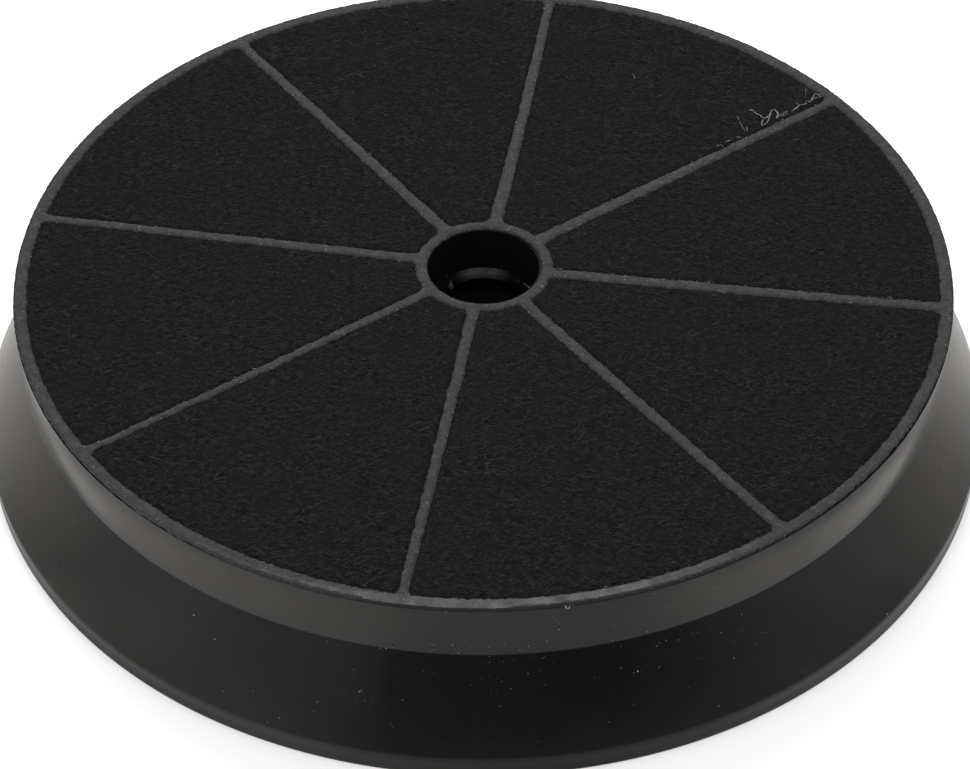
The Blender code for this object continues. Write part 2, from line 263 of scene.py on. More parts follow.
def grain(material, scale, detail=2.0, stretch=(1.0, 1.0, 1.0), turn=0.0, distortion=0.0, rough=0.5):
    """A noise pattern in metres on the piece's own coordinates; its scale is in grains for each metre."""
    nodes = material.node_tree.nodes
    links = material.node_tree.links
    mapping = nodes.new("ShaderNodeMapping")
    mapping.vector_type = "TEXTURE"
    mapping.inputs["Rotation"].default_value = (0.0, 0.0, turn)
    mapping.inputs["Scale"].default_value = stretch
    links.new(own_place(material), mapping.inputs["Vector"])
    pattern = nodes.new("ShaderNodeTexNoise")
    pattern.inputs["Scale"].default_value = scale
    pattern.inputs["Detail"].default_value = detail
    pattern.inputs["Roughness"].default_value = rough
    pattern.inputs["Distortion"].default_value = distortion
    links.new(mapping.outputs["Vector"], pattern.inputs["Vector"])
    return pattern.outputs["Fac"]


def ranged(material, value, low, high, start=0.0, end=1.0, soft=False):
    """Carry a pattern's values from low..high over to start..end, softly at both ends where that is asked."""
    spread = material.node_tree.nodes.new("ShaderNodeMapRange")
    spread.interpolation_type = "SMOOTHSTEP" if soft else "LINEAR"
    for socket, number in zip(("From Min", "From Max", "To Min", "To Max"), (low, high, start, end)):
        spread.inputs[socket].default_value = number
    material.node_tree.links.new(value, spread.inputs["Value"])
    return spread.outputs["Result"]


def combined(material, operation, *values):
    """Combine patterns and numbers."""
    math = material.node_tree.nodes.new("ShaderNodeMath")
    math.operation = operation
    for socket, value in zip(math.inputs, values):
        if isinstance(value, float):
            socket.default_value = value
        else:
            material.node_tree.links.new(value, socket)
    return math.outputs["Value"]


def product(material, first, *others):
    """Multiply patterns and numbers."""
    for other in others:
        first = combined(material, "MULTIPLY", first, other)
    return first


def mixed(material, share, first, second):
    """Mix two colours by a pattern."""
    blend = material.node_tree.nodes.new("ShaderNodeMix")
    blend.data_type = "RGBA"
    for socket, value in ((blend.inputs[0], share), (blend.inputs[6], first), (blend.inputs[7], second)):
        if isinstance(value, tuple):
            socket.default_value = (*value, 1.0)
        else:
            material.node_tree.links.new(value, socket)
    return blend.outputs[2]


def into(material, value, socket):
    """Lead a pattern into a socket of the material's shader."""
    material.node_tree.links.new(value, material.node_tree.nodes["Principled BSDF"].inputs[socket])


def relief(material, height, depth, strength=1.0):
    """Give the surface a fine relief of a pattern, with its depth in metres."""
    bump = material.node_tree.nodes.new("ShaderNodeBump")
    bump.inputs["Strength"].default_value = strength
    bump.inputs["Distance"].default_value = depth
    material.node_tree.links.new(height, bump.inputs["Height"])
    into(material, bump.outputs["Normal"], "Normal")


def toned(material, pattern, low, high, dark, pale):
    """Colour the material from dark to pale as a pattern goes from low to high."""
    into(material, mixed(material, ranged(material, pattern, low, high), dark, pale), "Base Color")


def reach_along(material, place, direction):
    """How far a place or a direction goes along another direction."""
    dot = material.node_tree.nodes.new("ShaderNodeVectorMath")
    dot.operation = "DOT_PRODUCT"
    dot.inputs[1].default_value = direction
    material.node_tree.links.new(place, dot.inputs[0])
    return dot.outputs["Value"]


def from_axis(material):
    """Distance of a point from the filter's axis."""
    nodes = material.node_tree.nodes
    flat = nodes.new("ShaderNodeVectorMath")
    flat.operation = "MULTIPLY"
    flat.inputs[1].default_value = (1.0, 1.0, 0.0)
    material.node_tree.links.new(own_place(material), flat.inputs[0])
    length = nodes.new("ShaderNodeVectorMath")
    length.operation = "LENGTH"
    material.node_tree.links.new(flat.outputs["Vector"], length.inputs[0])
    return length.outputs["Value"]


def moulded_plastic(name, color, roughness, dust):
    """Black moulded plastic: slightly uneven gloss, a faint mould grain, a few dust specks and, on the hub's
    ledge, a pale patch of painted light.
    """
    material = new_finish(name, color, roughness, PLASTIC_GLOSS)
    fine = grain(material, 2600.0)
    into(material, ranged(material, product(material, grain(material, 90.0, 3.0), fine), 0.1, 0.45,
                          roughness - 0.05, roughness + 0.07), "Roughness")
    specks = ranged(material, grain(material, 3800.0, 1.0), 0.70, 0.76, 0.0, dust)
    speckled = mixed(material, specks, color, tuple(share * 6.0 for share in color))
    aside = reach_along(material, own_place(material), PICTURE_RIGHT)
    reach = from_axis(material)
    # A pale patch painted on the hub's ledge where light from above falls on it: painted light.
    painted_light = product(material, ranged(material, aside, *PAINTED_LIGHT_LEFT),
                      ranged(material, aside, *PAINTED_LIGHT_RIGHT, 1.0, 0.0), ranged(material, reach, *PAINTED_LIGHT_REACH),
                      ranged(material, grain(material, 260.0, 3.0), 0.34, 0.56, 0.45, 1.0))
    into(material, mixed(material, painted_light, speckled, LEDGE_PAINTED_LIGHT), "Base Color")
    into(material, product(material, ranged(material, painted_light, 0.0, 0.5, PLASTIC_GLOSS, PAINTED_LIGHT_GLOSS),
                           ranged(material, reach, *BORE_REACH, BORE_DULLNESS, 1.0)), "Specular IOR Level")
    waves = combined(material, "ADD", product(material, grain(material, 110.0), 14.0),
                     combined(material, "ADD", grain(material, 700.0), fine))
    relief(material, waves, 0.006 * MM, 0.6)
    return material


def held(first, second, start, end):
    """Two points on a straight side, close to its ends, so that its shading stays flat in between."""
    length = hypot(second[0] - first[0], second[1] - first[1])
    return [(first[0] + (second[0] - first[0]) * share, first[1] + (second[1] - first[1]) * share, 0.0)
            for share in (start / length, 1 - end / length)]


skirt_outside = []
skirt_inside = []
skirt_shares = [step / SKIRT_POINTS for step in range(1, SKIRT_POINTS)]
for share in [0.4 / SKIRT_POINTS] + skirt_shares + [(SKIRT_POINTS - 0.5) / SKIRT_POINTS]:
    reach = CREASE_RADIUS + (SKIRT_RADIUS - CREASE_RADIUS) * share + 4 * SKIRT_SWELL * share * (1 - share)
    level = CREASE + (FOOT_HEIGHT - CREASE) * share
    skirt_outside.append((reach, level, 0.0))
    if level < SHOULDER and share in skirt_shares:
        skirt_inside.insert(0, (reach - SKIRT_WALL, level, 0.0))

rim_corner = (RIM_RADIUS, UPSTAND_TOP, UPSTAND_ROUND)
crease_corner = (CREASE_RADIUS, CREASE, CREASE_ROUND)
lip_corner = (SKIRT_RADIUS, FOOT_HEIGHT, LIP_ROUND)
foot_corner = (FOOT_RADIUS, 0.0, EDGE_ROUND)
wall = [rim_corner, *held(rim_corner, crease_corner, HELD, HELD), crease_corner] + skirt_outside
wall += [lip_corner, *held(lip_corner, foot_corner, 2 * HELD, HELD), foot_corner,
         (FOOT_RADIUS - FOOT_WALL, 0.0, EDGE_ROUND), (SKIRT_RADIUS - FOOT_WALL, FOOT_HEIGHT, 0.0)]
wall += skirt_inside
wall += [(BED_RADIUS, BEAD_BOTTOM, 0.0), (BED_RADIUS - BEAD_REACH, BEAD_BOTTOM + BEAD_HEIGHT / 2, 0.0),
         (BED_RADIUS, BEAD_BOTTOM + BEAD_HEIGHT, 0.0), (BED_RADIUS, RIB_TOP, 0.0),
         (RIM_RADIUS - UPSTAND_WIDTH, RIB_TOP, 0.0), (RIM_RADIUS - UPSTAND_WIDTH, UPSTAND_TOP, UPSTAND_ROUND)]
tube = [(HUB_BORE_RADIUS + UPSTAND_WIDTH, UPSTAND_TOP, UPSTAND_ROUND),
        (HUB_BORE_RADIUS + UPSTAND_WIDTH, RIB_TOP, 0.0), (HUB_RADIUS, RIB_TOP, EDGE_ROUND),
        (HUB_RADIUS, HUB_BOTTOM, EDGE_ROUND), (HUB_BORE_RADIUS, HUB_BOTTOM, EDGE_ROUND),
        (HUB_BORE_RADIUS, HUB_BOTTOM + 2 * HELD, 0.0), (HUB_BORE_RADIUS, UPSTAND_TOP - HELD, 0.0),
        (HUB_BORE_RADIUS, UPSTAND_TOP, UPSTAND_ROUND)]
hub_core = HUB_BORE_RADIUS + WALL_OVERLAP
ledge = [(hub_core, LEDGE_TOP, 0.0), (hub_core, LEDGE_BOTTOM, 0.0),
         (LEDGE_RADIUS, LEDGE_BOTTOM, EDGE_ROUND), (LEDGE_RADIUS, LEDGE_TOP, LEDGE_ROUND)]
stop_radius = LEDGE_RADIUS + STOP_SETBACK
stop_low = (LEDGE_TOP + LEDGE_BOTTOM) / 2
stop = [(hub_core, LEDGE_TOP + STOP_HEIGHT, 0.0), (hub_core, stop_low, 0.0),
        (stop_radius, stop_low, 0.0), (stop_radius, LEDGE_TOP + STOP_HEIGHT, EDGE_ROUND)]

walls = [spun_ring(wall, ROUND_STEPS), spun_ring(tube, HUB_STEPS)]
ribs = [rib_block(2 * pi * number / RIB_COUNT, hub_core, BED_RADIUS + WALL_OVERLAP, RIB_HALF_BOTTOM,
                  RIB_HALF_TOP, RIB_BOTTOM, RIB_TOP, RIB_ROUND) for number in range(RIB_COUNT)]
ledges = [spun_arc(ledge, side + LEDGE_START, LEDGE_SWEEP, HUB_STEPS * 2 // 5) for side in (0.0, pi)]
stops = [spun_arc(stop, side + STOP_START, STOP_SWEEP, 4) for side in (0.0, pi)]
housing = moulded("housing_moulding", (walls, ribs, ledges, stops))
shade(housing)
housing.data.materials.append(moulded_plastic("black satin plastic", PLASTIC_BLACK, PLASTIC_ROUGHNESS, 0.5))
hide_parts("housing")
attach(housing, "root")


# Base grille
# The snapped-in bottom of the filter, moulded from the same black plastic: four rings joined by radial
# bars, which get more numerous outwards. It holds the lower fleece and the granules up.
GRILLE_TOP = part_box("base_grille")[1][2]
GRILLE_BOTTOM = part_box("base_grille")[0][2]
GRILLE_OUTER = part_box("base_grille")[1][0]
GRILLE_INNER = HUB_RADIUS + 0.3 * MM
GRILLE_RIM = 2.4 * MM
GRILLE_BAR = 1.9 * MM
BAR_INSET = 0.3 * MM
BAR_SINK = 0.6 * MM
BARS_PER_SECTOR = (2, 3, 4)
GRILLE_STEPS = 192
GRILLE_BLACK = (0.011, 0.011, 0.011)


def plain_ring(inner, outer, bottom, top, rounding):
    """Outline of a plain ring's section with rounded corners."""
    return [(outer, top, rounding), (outer, bottom, rounding), (inner, bottom, rounding),
            (inner, top, rounding)]


first_ring = GRILLE_INNER + GRILLE_RIM
last_ring = GRILLE_OUTER - GRILLE_RIM
rows = len(BARS_PER_SECTOR)
row_depth = (last_ring - first_ring - (rows - 1) * GRILLE_BAR) / rows
row_pitch = row_depth + GRILLE_BAR
ring_edges = [(GRILLE_INNER, first_ring), (last_ring, GRILLE_OUTER)]
for row in range(1, rows):
    reach = first_ring + row * row_pitch
    ring_edges.append((reach - GRILLE_BAR, reach))
rings = [spun_ring(plain_ring(inner, outer, GRILLE_BOTTOM, GRILLE_TOP, EDGE_ROUND), GRILLE_STEPS)
         for inner, outer in ring_edges]
grille_bars = []
for row, bars in enumerate(BARS_PER_SECTOR):
    start = first_ring + row * row_pitch
    for number in range(bars * RIB_COUNT):
        grille_bars.append(rib_block(2 * pi * number / (bars * RIB_COUNT), start - BAR_SINK,
                                     start + row_depth + BAR_SINK, GRILLE_BAR / 2, GRILLE_BAR / 2,
                                     GRILLE_BOTTOM + BAR_INSET, GRILLE_TOP - BAR_INSET, EDGE_ROUND))
grille = moulded("grille_moulding", (rings, grille_bars))
shade(grille)
grille.data.materials.append(moulded_plastic("black grille plastic", GRILLE_BLACK, 0.36, 0.8))
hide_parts("base_grille")
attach(grille, "root")


# Lower fleece
# A thin disc of black needled felt on the grille, which keeps the granules in on the motor side. Its
# surface is a little uneven, and it bulges slightly into the windows of the grille.
LOWER_FLEECE_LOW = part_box("lower_fleece")[0][2]
LOWER_FLEECE_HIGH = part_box("lower_fleece")[1][2]
LOWER_FLEECE_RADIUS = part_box("lower_fleece")[1][0]
LOWER_FLEECE_RINGS = 60
LOWER_FLEECE_STEPS = 256
FELT_BLACK = (0.0084, 0.0082, 0.0083)
FIBRE_GREY = (0.030, 0.029, 0.029)
# Tints of the felt's warm and cold patches and how much of its colour is left in its gaps, then its crossing
# streaks: direction in degrees and grains for each metre.
FELT_WARM = (1.17, 1.00, 1.05)
FELT_COLD = (0.84, 0.98, 0.96)
FELT_HOLE = 0.25
FELT_STREAKS = ((9.0, 2300.0), (34.0, 2100.0), (-18.0, 2200.0), (80.0, 1900.0))
FELT_UNEVEN = 0.09 * MM


def flat_disc(inner, outer, level, rings, steps):
    """A flat ring-shaped sheet spun from a straight line of short edges."""
    form = bmesh.new()
    bmesh.ops.create_grid(form, x_segments=rings, y_segments=1, size=0.5)
    bmesh.ops.delete(form, geom=[vert for vert in form.verts if vert.co.y > 0], context="VERTS")
    for vert in form.verts:
        vert.co = (inner + (outer - inner) * (vert.co.x + 0.5), 0.0, level)
    bmesh.ops.spin(form, geom=form.edges[:], cent=(0, 0, 0), axis=(0, 0, 1), angle=2 * pi, steps=steps,
                   use_merge=True)
    bmesh.ops.recalc_face_normals(form, faces=form.faces)
    if form.faces[0].normal.z < 0:
        bmesh.ops.reverse_faces(form, faces=form.faces)
    return form


def closed_disc(form, level):
    """Give a ring-shaped sheet upright edges down to a flat underside."""
    border = [edge for edge in form.edges if edge.is_boundary]
    grown = bmesh.ops.extrude_edge_only(form, edges=border)["geom"]
    for vert in grown:
        if isinstance(vert, bmesh.types.BMVert):
            vert.co.z = level
    rims = [edge for edge in form.edges if edge.is_boundary]
    bmesh.ops.bridge_loops(form, edges=rims)
    bmesh.ops.recalc_face_normals(form, faces=form.faces)


def rough(x, y, z, size, seed=0.0):
    """Smooth random value, about -1 to 1, that changes over the given size in metres."""
    return noise.noise(Vector((x / size + seed, y / size - seed, z / size)))


def needled_felt(name, color, fleck_color):
    """Black needled felt: crossing streaks of fine fibres with dark gaps, and warm and cold patches."""
    material = new_finish(name, color, 1.0, 0.08)
    streaks = []
    for turn, scale in FELT_STREAKS:
        streaks.append(grain(material, scale, 2.0, (3.2, 1.0, 1.0), radians(turn), 0.8))
    along = combined(material, "MAXIMUM", streaks[0], streaks[2])
    crossing = combined(material, "MAXIMUM", streaks[1], combined(material, "SUBTRACT", streaks[3], 0.05))
    strands = combined(material, "MAXIMUM", along, crossing)
    thick = ranged(material, grain(material, 160.0, 3.0), 0.3, 0.7, 0.35, 1.0)
    flecks = product(material, ranged(material, strands, 0.56, 0.76), thick)
    gaps = combined(material, "MINIMUM", streaks[0], combined(material, "MINIMUM", streaks[1], streaks[2]))
    holes = product(material, ranged(material, gaps, 0.45, 0.32), thick)
    patches = ranged(material, grain(material, 150.0), 0.43, 0.57)
    warm = tuple(share * tone for share, tone in zip(color, FELT_WARM))
    cold = tuple(share * tone for share, tone in zip(color, FELT_COLD))
    dark = tuple(share * FELT_HOLE for share in color)
    ground = mixed(material, holes, mixed(material, patches, warm, cold), dark)
    into(material, mixed(material, flecks, ground, fleck_color), "Base Color")
    relief(material, strands, 0.12 * MM, 0.9)
    return material


form = flat_disc(GRILLE_INNER, LOWER_FLEECE_RADIUS, LOWER_FLEECE_LOW, LOWER_FLEECE_RINGS, LOWER_FLEECE_STEPS)
for vert in form.verts:
    vert.co.z += FELT_UNEVEN * (1 + rough(*vert.co, 3.0 * MM))
closed_disc(form, LOWER_FLEECE_HIGH)
lower_fleece = new_piece("lower_felt", form)
shade(lower_fleece)
felt = needled_felt("black needled felt", FELT_BLACK, FIBRE_GREY)
lower_fleece.data.materials.append(felt)
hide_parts("lower_fleece")
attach(lower_fleece, "root")


# Carbon charges
# The granules of activated carbon that fill the eight compartments, about 1.5 mm across. They are shut
# in between the two fleeces, so the solids stay and get a granular look: each granule is paler in its middle
# and darker towards the gaps between them, a painted shade.
GRANULE_SIZE = 1.5 * MM
CARBON_BLACK = (0.006, 0.006, 0.006)
CARBON_GREY = (0.011, 0.011, 0.011)

granules = new_finish("carbon granules", CARBON_BLACK, 0.6)
cells = granules.node_tree.nodes.new("ShaderNodeTexVoronoi")
cells.inputs["Scale"].default_value = 1.0 / GRANULE_SIZE
granules.node_tree.links.new(own_place(granules), cells.inputs["Vector"])
into(granules, ranged(granules, cells.outputs["Distance"], 0.0, 0.8, 0.35, 0.9), "Roughness")
# Paler in each granule's middle and darker towards the gaps: painted shade between the granules.
into(granules, mixed(granules, cells.outputs["Distance"], CARBON_GREY, CARBON_BLACK), "Base Color")
relief(granules, cells.outputs["Distance"], -0.5 * MM)
for number in range(1, RIB_COUNT + 1):
    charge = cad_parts["carbon_charge_%d" % number]
    for slot in charge.material_slots:
        slot.material = granules


# Upper fleece
# A disc of black needled felt laid over the granules. It is pressed thin along the seams and stands a
# little proud between them, so each of the eight panels has a soft edge.
SEAM_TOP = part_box("weld_seam")[1][2]
FLEECE_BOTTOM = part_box("upper_fleece")[0][2]
FLEECE_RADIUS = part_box("upper_fleece")[1][0]
FLEECE_BORE = HUB_BORE_RADIUS + UPSTAND_WIDTH + 0.3 * MM
PANEL_TOP = SEAM_TOP - 0.28 * MM
PANEL_UNEVEN = 0.14 * MM
PANEL_ROUGH = 0.05 * MM
PRESSED_DEPTH = 0.42 * MM
PRESSED_EDGE = 0.9 * MM
FLEECE_RINGS = 130
FLEECE_STEPS = 512
SPOKE_CROWDING = 0.62
RIM_SEAM_INNER = RIM_RADIUS - 2.6 * MM
HUB_SEAM_OUTER = HUB_BORE_RADIUS + 2.5 * MM
SECTOR = 2 * pi / RIB_COUNT
# For each seam from +X round to the left: how far it lies off its line at the hub, halfway and at the
# rim, then its width near the hub and near the rim, in mm.
SEAM_TRACKS = ((-0.20, 0.55, 1.65, 2.85, 2.65), (-0.20, -0.10, -0.25, 3.0, 2.4),
               (-0.30, -0.50, -0.17, 2.9, 2.1), (-0.23, -0.50, -0.55, 2.75, 2.4),
               (-0.05, -0.30, -0.80, 2.75, 2.2), (0.10, 0.00, -0.50, 2.4, 1.75),
               (0.30, 0.38, 0.30, 2.5, 2.0), (-0.02, 0.50, 1.10, 2.6, 2.4))


def track_offset(number, reach):
    """How far a seam's middle lies off its straight line at a radius."""
    hub, middle, rim = SEAM_TRACKS[number][:3]
    share = (reach - HUB_SEAM_OUTER) / (RIM_SEAM_INNER - HUB_SEAM_OUTER)
    drift = hub + (middle - hub) * 2 * share if share < 0.5 else middle + (rim - middle) * (2 * share - 1)
    return drift * MM + 0.10 * MM * rough(reach, number * 0.1, 0.0, 6.0 * MM)


def track_width(number, reach):
    """Width of a seam at a radius, flaring where it runs into the hub ring and the rim ring."""
    near, far = SEAM_TRACKS[number][3:]
    share = (reach - HUB_SEAM_OUTER) / (RIM_SEAM_INNER - HUB_SEAM_OUTER)
    flare = 1.1 * max(0.0, 1 - (reach - HUB_SEAM_OUTER) / (1.6 * MM)) ** 2
    flare += 1.5 * max(0.0, 1 - (RIM_SEAM_INNER - reach) / (1.8 * MM)) ** 2
    return (near + (far - near) * share + flare) * MM


def felt_level(x, y):
    """Height of the felt's upper side: level panels that dip towards the seams."""
    reach = hypot(x, y)
    turn = atan2(y, x) % (2 * pi)
    number = int(turn / SECTOR + 0.5) % RIB_COUNT
    aside = turn - number * SECTOR
    aside = aside - 2 * pi if aside > pi else aside
    across = abs(reach * sin(aside) - track_offset(number, reach)) - track_width(number, reach) / 2
    gap = max(0.0, min(across, RIM_SEAM_INNER - reach, reach - HUB_SEAM_OUTER))
    dip = PRESSED_DEPTH * (1 - min(1.0, gap / PRESSED_EDGE)) ** 2
    uneven = PANEL_UNEVEN * rough(x, y, 0.0, 14.0 * MM) + PANEL_ROUGH * rough(x, y, 0.0, 1.3 * MM)
    return PANEL_TOP + uneven - dip


form = flat_disc(FLEECE_BORE, FLEECE_RADIUS, PANEL_TOP, FLEECE_RINGS, FLEECE_STEPS)
for vert in form.verts:
    reach = hypot(vert.co.x, vert.co.y)
    turn = atan2(vert.co.y, vert.co.x)
    turn -= SPOKE_CROWDING * sin(RIB_COUNT * turn) / RIB_COUNT
    vert.co = (reach * cos(turn), reach * sin(turn), 0.0)
    vert.co.z = felt_level(vert.co.x, vert.co.y)
closed_disc(form, FLEECE_BOTTOM)
upper_fleece = new_piece("upper_felt", form)
shade(upper_fleece)
upper_fleece.data.materials.append(felt)
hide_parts("upper_fleece")
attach(upper_fleece, "root")


# Fleece edge
# Where the disc was trimmed at the rim its cut edge shows as a dark, torn line between the seam and the
# collar. It was cut flush at the front, and hangs lower at the sides, where the trimming left more.
EDGE_STEPS = 1500
EDGE_INNER = RIM_RADIUS - 1.0 * MM
EDGE_OUT = 0.12 * MM
EDGE_TOP = SEAM_TOP - 0.62 * MM
EDGE_HANG = (0.03 * MM, 0.12 * MM)
EDGE_LONG = 0.16 * MM
LONG_SIDES = (radians(216), radians(342))
LONG_SPREAD = radians(30)
TRIM_FLUSH = radians(280)
TRIM_SPREAD = (radians(20), radians(58))
# Places where the seam stops short of the rim and bares the torn felt: angle, spread and depth.
BARE_SIDES = ((radians(327), radians(29), 0.16 * MM), (radians(222), radians(38), 0.04 * MM))


def trim_share(turn):
    """0 where the edge was cut flush, at the front, and 1 where it was left long."""
    away = abs((turn - TRIM_FLUSH + pi) % (2 * pi) - pi)
    share = min(1.0, max(0.0, (away - TRIM_SPREAD[0]) / (TRIM_SPREAD[1] - TRIM_SPREAD[0])))
    return share * share * (3 - 2 * share)


def bared(turn):
    """How far the seam stops short of the rim at an angle."""
    depth = 0.0
    for side, spread, most in BARE_SIDES:
        depth = max(depth, most * max(0.0, 1 - ((turn % (2 * pi) - side) / spread) ** 2) ** 0.5)
    return depth * max(0.0, 0.75 + 0.9 * rough(turn * RIM_RADIUS, 0.0, 0.7, 0.8 * MM))


def edge_hang(turn):
    """How far the torn edge hangs below the seam at an angle."""
    sides = sum(max(0.0, 1 - ((turn - side) / LONG_SPREAD) ** 2) for side in LONG_SIDES)
    along = turn * RIM_RADIUS
    torn = 0.55 + 0.8 * rough(along, 0.0, 0.0, 2.2 * MM) + 0.7 * rough(along, 0.5, 0.0, 0.8 * MM)
    long = EDGE_HANG[0] + (EDGE_HANG[1] - EDGE_HANG[0]) * trim_share(turn) + EDGE_LONG * sides
    return max(0.08, torn) * long


form = bmesh.new()
edge_profile = ((EDGE_INNER, EDGE_TOP), (RIM_RADIUS, EDGE_TOP), (RIM_RADIUS + EDGE_OUT, EDGE_TOP - 0.1 * MM),
                (RIM_RADIUS + EDGE_OUT, RIB_TOP), (EDGE_INNER, RIB_TOP + 0.1 * MM))
edge_verts = [form.verts.new((radius, 0.0, height)) for radius, height in edge_profile]
for here, there in zip(edge_verts, edge_verts[1:] + edge_verts[:1]):
    form.edges.new((here, there))
bmesh.ops.spin(form, geom=form.edges[:], cent=(0, 0, 0), axis=(0, 0, 1), angle=2 * pi, steps=EDGE_STEPS,
               use_merge=True)
for vert in form.verts:
    turn = atan2(vert.co.y, vert.co.x) % (2 * pi)
    reach = hypot(vert.co.x, vert.co.y)
    if reach > RIM_RADIUS - 0.01 * MM:
        ragged = 0.6 * rough(turn * RIM_RADIUS, 0.3, vert.co.z, 0.9 * MM) + 1.7 * (trim_share(turn) - 1)
        bulge = 1 + EDGE_OUT * ragged / reach
        vert.co.x *= bulge
        vert.co.y *= bulge
        if vert.co.z < RIB_TOP + 0.05 * MM:
            vert.co.z = UPSTAND_TOP - edge_hang(turn)
    if vert.co.z > EDGE_TOP - 0.05 * MM:
        vert.co.z += 0.5 * bared(turn) * (0.7 + 0.7 * rough(vert.co.x, vert.co.y, 0.0, 0.7 * MM))
bmesh.ops.recalc_face_normals(form, faces=form.faces)
fleece_edge = new_piece("fleece_edge", form)
shade(fleece_edge)
fleece_edge.data.materials.append(felt)
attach(fleece_edge, "root")


# Loose fibres
# Polyester fibres that stand out of the needled surface and catch the light. They lie more along the
# rolls of the felt than across them, and a few curl.
FIBRE_COUNT = 11000
FIBRE_POINTS = 5
FIBRE_LENGTH = (0.35 * MM, 1.4 * MM)
FIBRE_HALF_WIDTH = 0.036 * MM
FIBRE_SPREAD = radians(40)
FIBRE_CURL = 1.0
FIBRE_DARK = (0.004, 0.004, 0.004)
FIBRE_PALE = (0.038, 0.037, 0.037)


def curve_mesh(name, curve):
    """The mesh of a drawn curve."""
    drawing = bpy.data.objects.new(name + "_drawing", curve)
    bpy.context.scene.collection.objects.link(drawing)
    mesh = finished_mesh(drawing)
    bpy.data.objects.remove(drawing, do_unlink=True)
    return mesh


fibre_curve = bpy.data.curves.new("loose_fibres", "CURVE")
fibre_curve.dimensions = "3D"
fibre_curve.extrude = FIBRE_HALF_WIDTH
luck = Random(7)
for number in range(FIBRE_COUNT):
    reach = (luck.uniform((HUB_SEAM_OUTER + 0.4 * MM) ** 2, (RIM_SEAM_INNER - 0.4 * MM) ** 2)) ** 0.5
    turn = luck.uniform(0.0, 2 * pi)
    heading = VIEW_TURN + luck.gauss(0.0, FIBRE_SPREAD)
    curl = luck.gauss(0.0, FIBRE_CURL)
    length = luck.uniform(*FIBRE_LENGTH)
    tilt = luck.uniform(radians(35), radians(145))
    x = reach * cos(turn)
    y = reach * sin(turn)
    spline = fibre_curve.splines.new("POLY")
    spline.points.add(FIBRE_POINTS - 1)
    for place, point in enumerate(spline.points):
        share = place / (FIBRE_POINTS - 1)
        lift = 0.02 * MM + 0.12 * MM * share * (1 - share) * 4 * luck.random()
        point.co = (x, y, felt_level(x, y) + lift, 1.0)
        point.tilt = tilt
        x += cos(heading) * length / (FIBRE_POINTS - 1)
        y += sin(heading) * length / (FIBRE_POINTS - 1)
        heading += curl / (FIBRE_POINTS - 1)
fibre_mesh = curve_mesh("loose_fibres", fibre_curve)
loose_fibres = bpy.data.objects.new("loose_fibres", fibre_mesh)
bpy.context.scene.collection.objects.link(loose_fibres)
fibre_finish = new_finish("fibre", (0.022, 0.021, 0.021), 0.6, 0.3)
toned(fibre_finish, grain(fibre_finish, 900.0, 1.0), 0.42, 0.68, FIBRE_DARK, FIBRE_PALE)
fibre_mesh.materials.clear()
fibre_mesh.materials.append(fibre_finish)
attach(loose_fibres, "root")


# Weld seam
# Plastic of the rim, the ribs and the hub that a hot plate has melted up through the felt. It has set as
# a rough grey track: a rim ring, eight spokes that wander off their lines, and a ring round the hub.
SEAM_BOTTOM = UPSTAND_TOP + 0.05 * MM
SEAM_ROUGH = 0.09 * MM
SEAM_CROWN = 0.40 * MM
RING_CROWN = (0.45 * MM, 0.04 * MM)
# How far the ragged edges wander: the inner and outer one of the rim ring and of the hub ring, and a spoke's.
RIM_FRINGE = (0.26 * MM, 0.08 * MM)
HUB_FRINGE = (0.06 * MM, 0.22 * MM)
SPOKE_FRINGE = 0.21 * MM
# A place where the rim ring is wider: angle, spread and how much.
WIDE_PLACE = (radians(255), radians(28), 0.30 * MM)
SPOKE_LENGTH_STEPS = 400
SPOKE_WIDTH_STEPS = 10
RIM_STEPS = 2600
RING_WIDTH_STEPS = 12
HUB_RING_STEPS = 420
SEAM_GLOSS = 0.35
SEAM_GREY = (0.0105, 0.0100, 0.0100)
SEAM_PALE = (0.050, 0.0475, 0.0475)
FLECK_PALE = (0.17, 0.168, 0.165)
# The front of the rim ring, on the camera's side, is painted paler, a painted highlight: its colour, the
# angles over which it fades, its middle, and how it starts and fades in across the ring.
FRONT_HIGHLIGHT_PALE = (0.168, 0.165, 0.161)
FRONT_HIGHLIGHT_SPREAD = (radians(15), radians(36))
FRONT_HIGHLIGHT_MIDDLE = radians(279)
FRONT_HIGHLIGHT_INSET = 1.3 * MM
FRONT_HIGHLIGHT_FADE = 0.6 * MM
# The rim ring's outermost border is painted darker, a painted shade along its outer edge, but not where the
# front highlight is: its angle and spread. Its upright outer side is as glossy as the housing.
BORDER = 0.42 * MM
BORDER_AT_HIGHLIGHT = (radians(274), radians(8))
SIDE_DEPTH = 0.35 * MM
# The melted hub ring has set a little off the bore, to the right and the front in the picture.
HUB_RING_SHIFT = 0.22 * MM * PICTURE_RIGHT + 0.12 * MM * PICTURE_NEAR
HUB_RING_INNER = HUB_BORE_RADIUS + 0.25 * MM
HUB_RING_OUTER = HUB_SEAM_OUTER + 0.15 * MM


def seam_level(x, y, across, crown=SEAM_CROWN):
    """Height of the rough seam; across is 0 on its crown and 1 at its edges."""
    lumps = SEAM_ROUGH * (rough(x, y, 0.0, 1.0 * MM) + 0.9 * rough(x, y, 0.0, 0.42 * MM, 3.0))
    return min(SEAM_TOP, SEAM_TOP - 0.07 * MM + lumps - crown * abs(across) ** 3)


def stray(x, y, seed):
    """How far a ragged edge of the seam wanders, about -1 to 1."""
    return rough(x, y, 0.0, 2.2 * MM, seed) + 0.8 * rough(x, y, 0.0, 0.85 * MM, seed + 4.0) \
        + 0.6 * rough(x, y, 0.0, 0.4 * MM, seed + 8.0)


def widened(turn):
    """How much farther in the rim ring reaches at an angle."""
    place, spread, most = WIDE_PLACE
    return most * max(0.0, 1 - ((turn % (2 * pi) - place) / spread) ** 2)


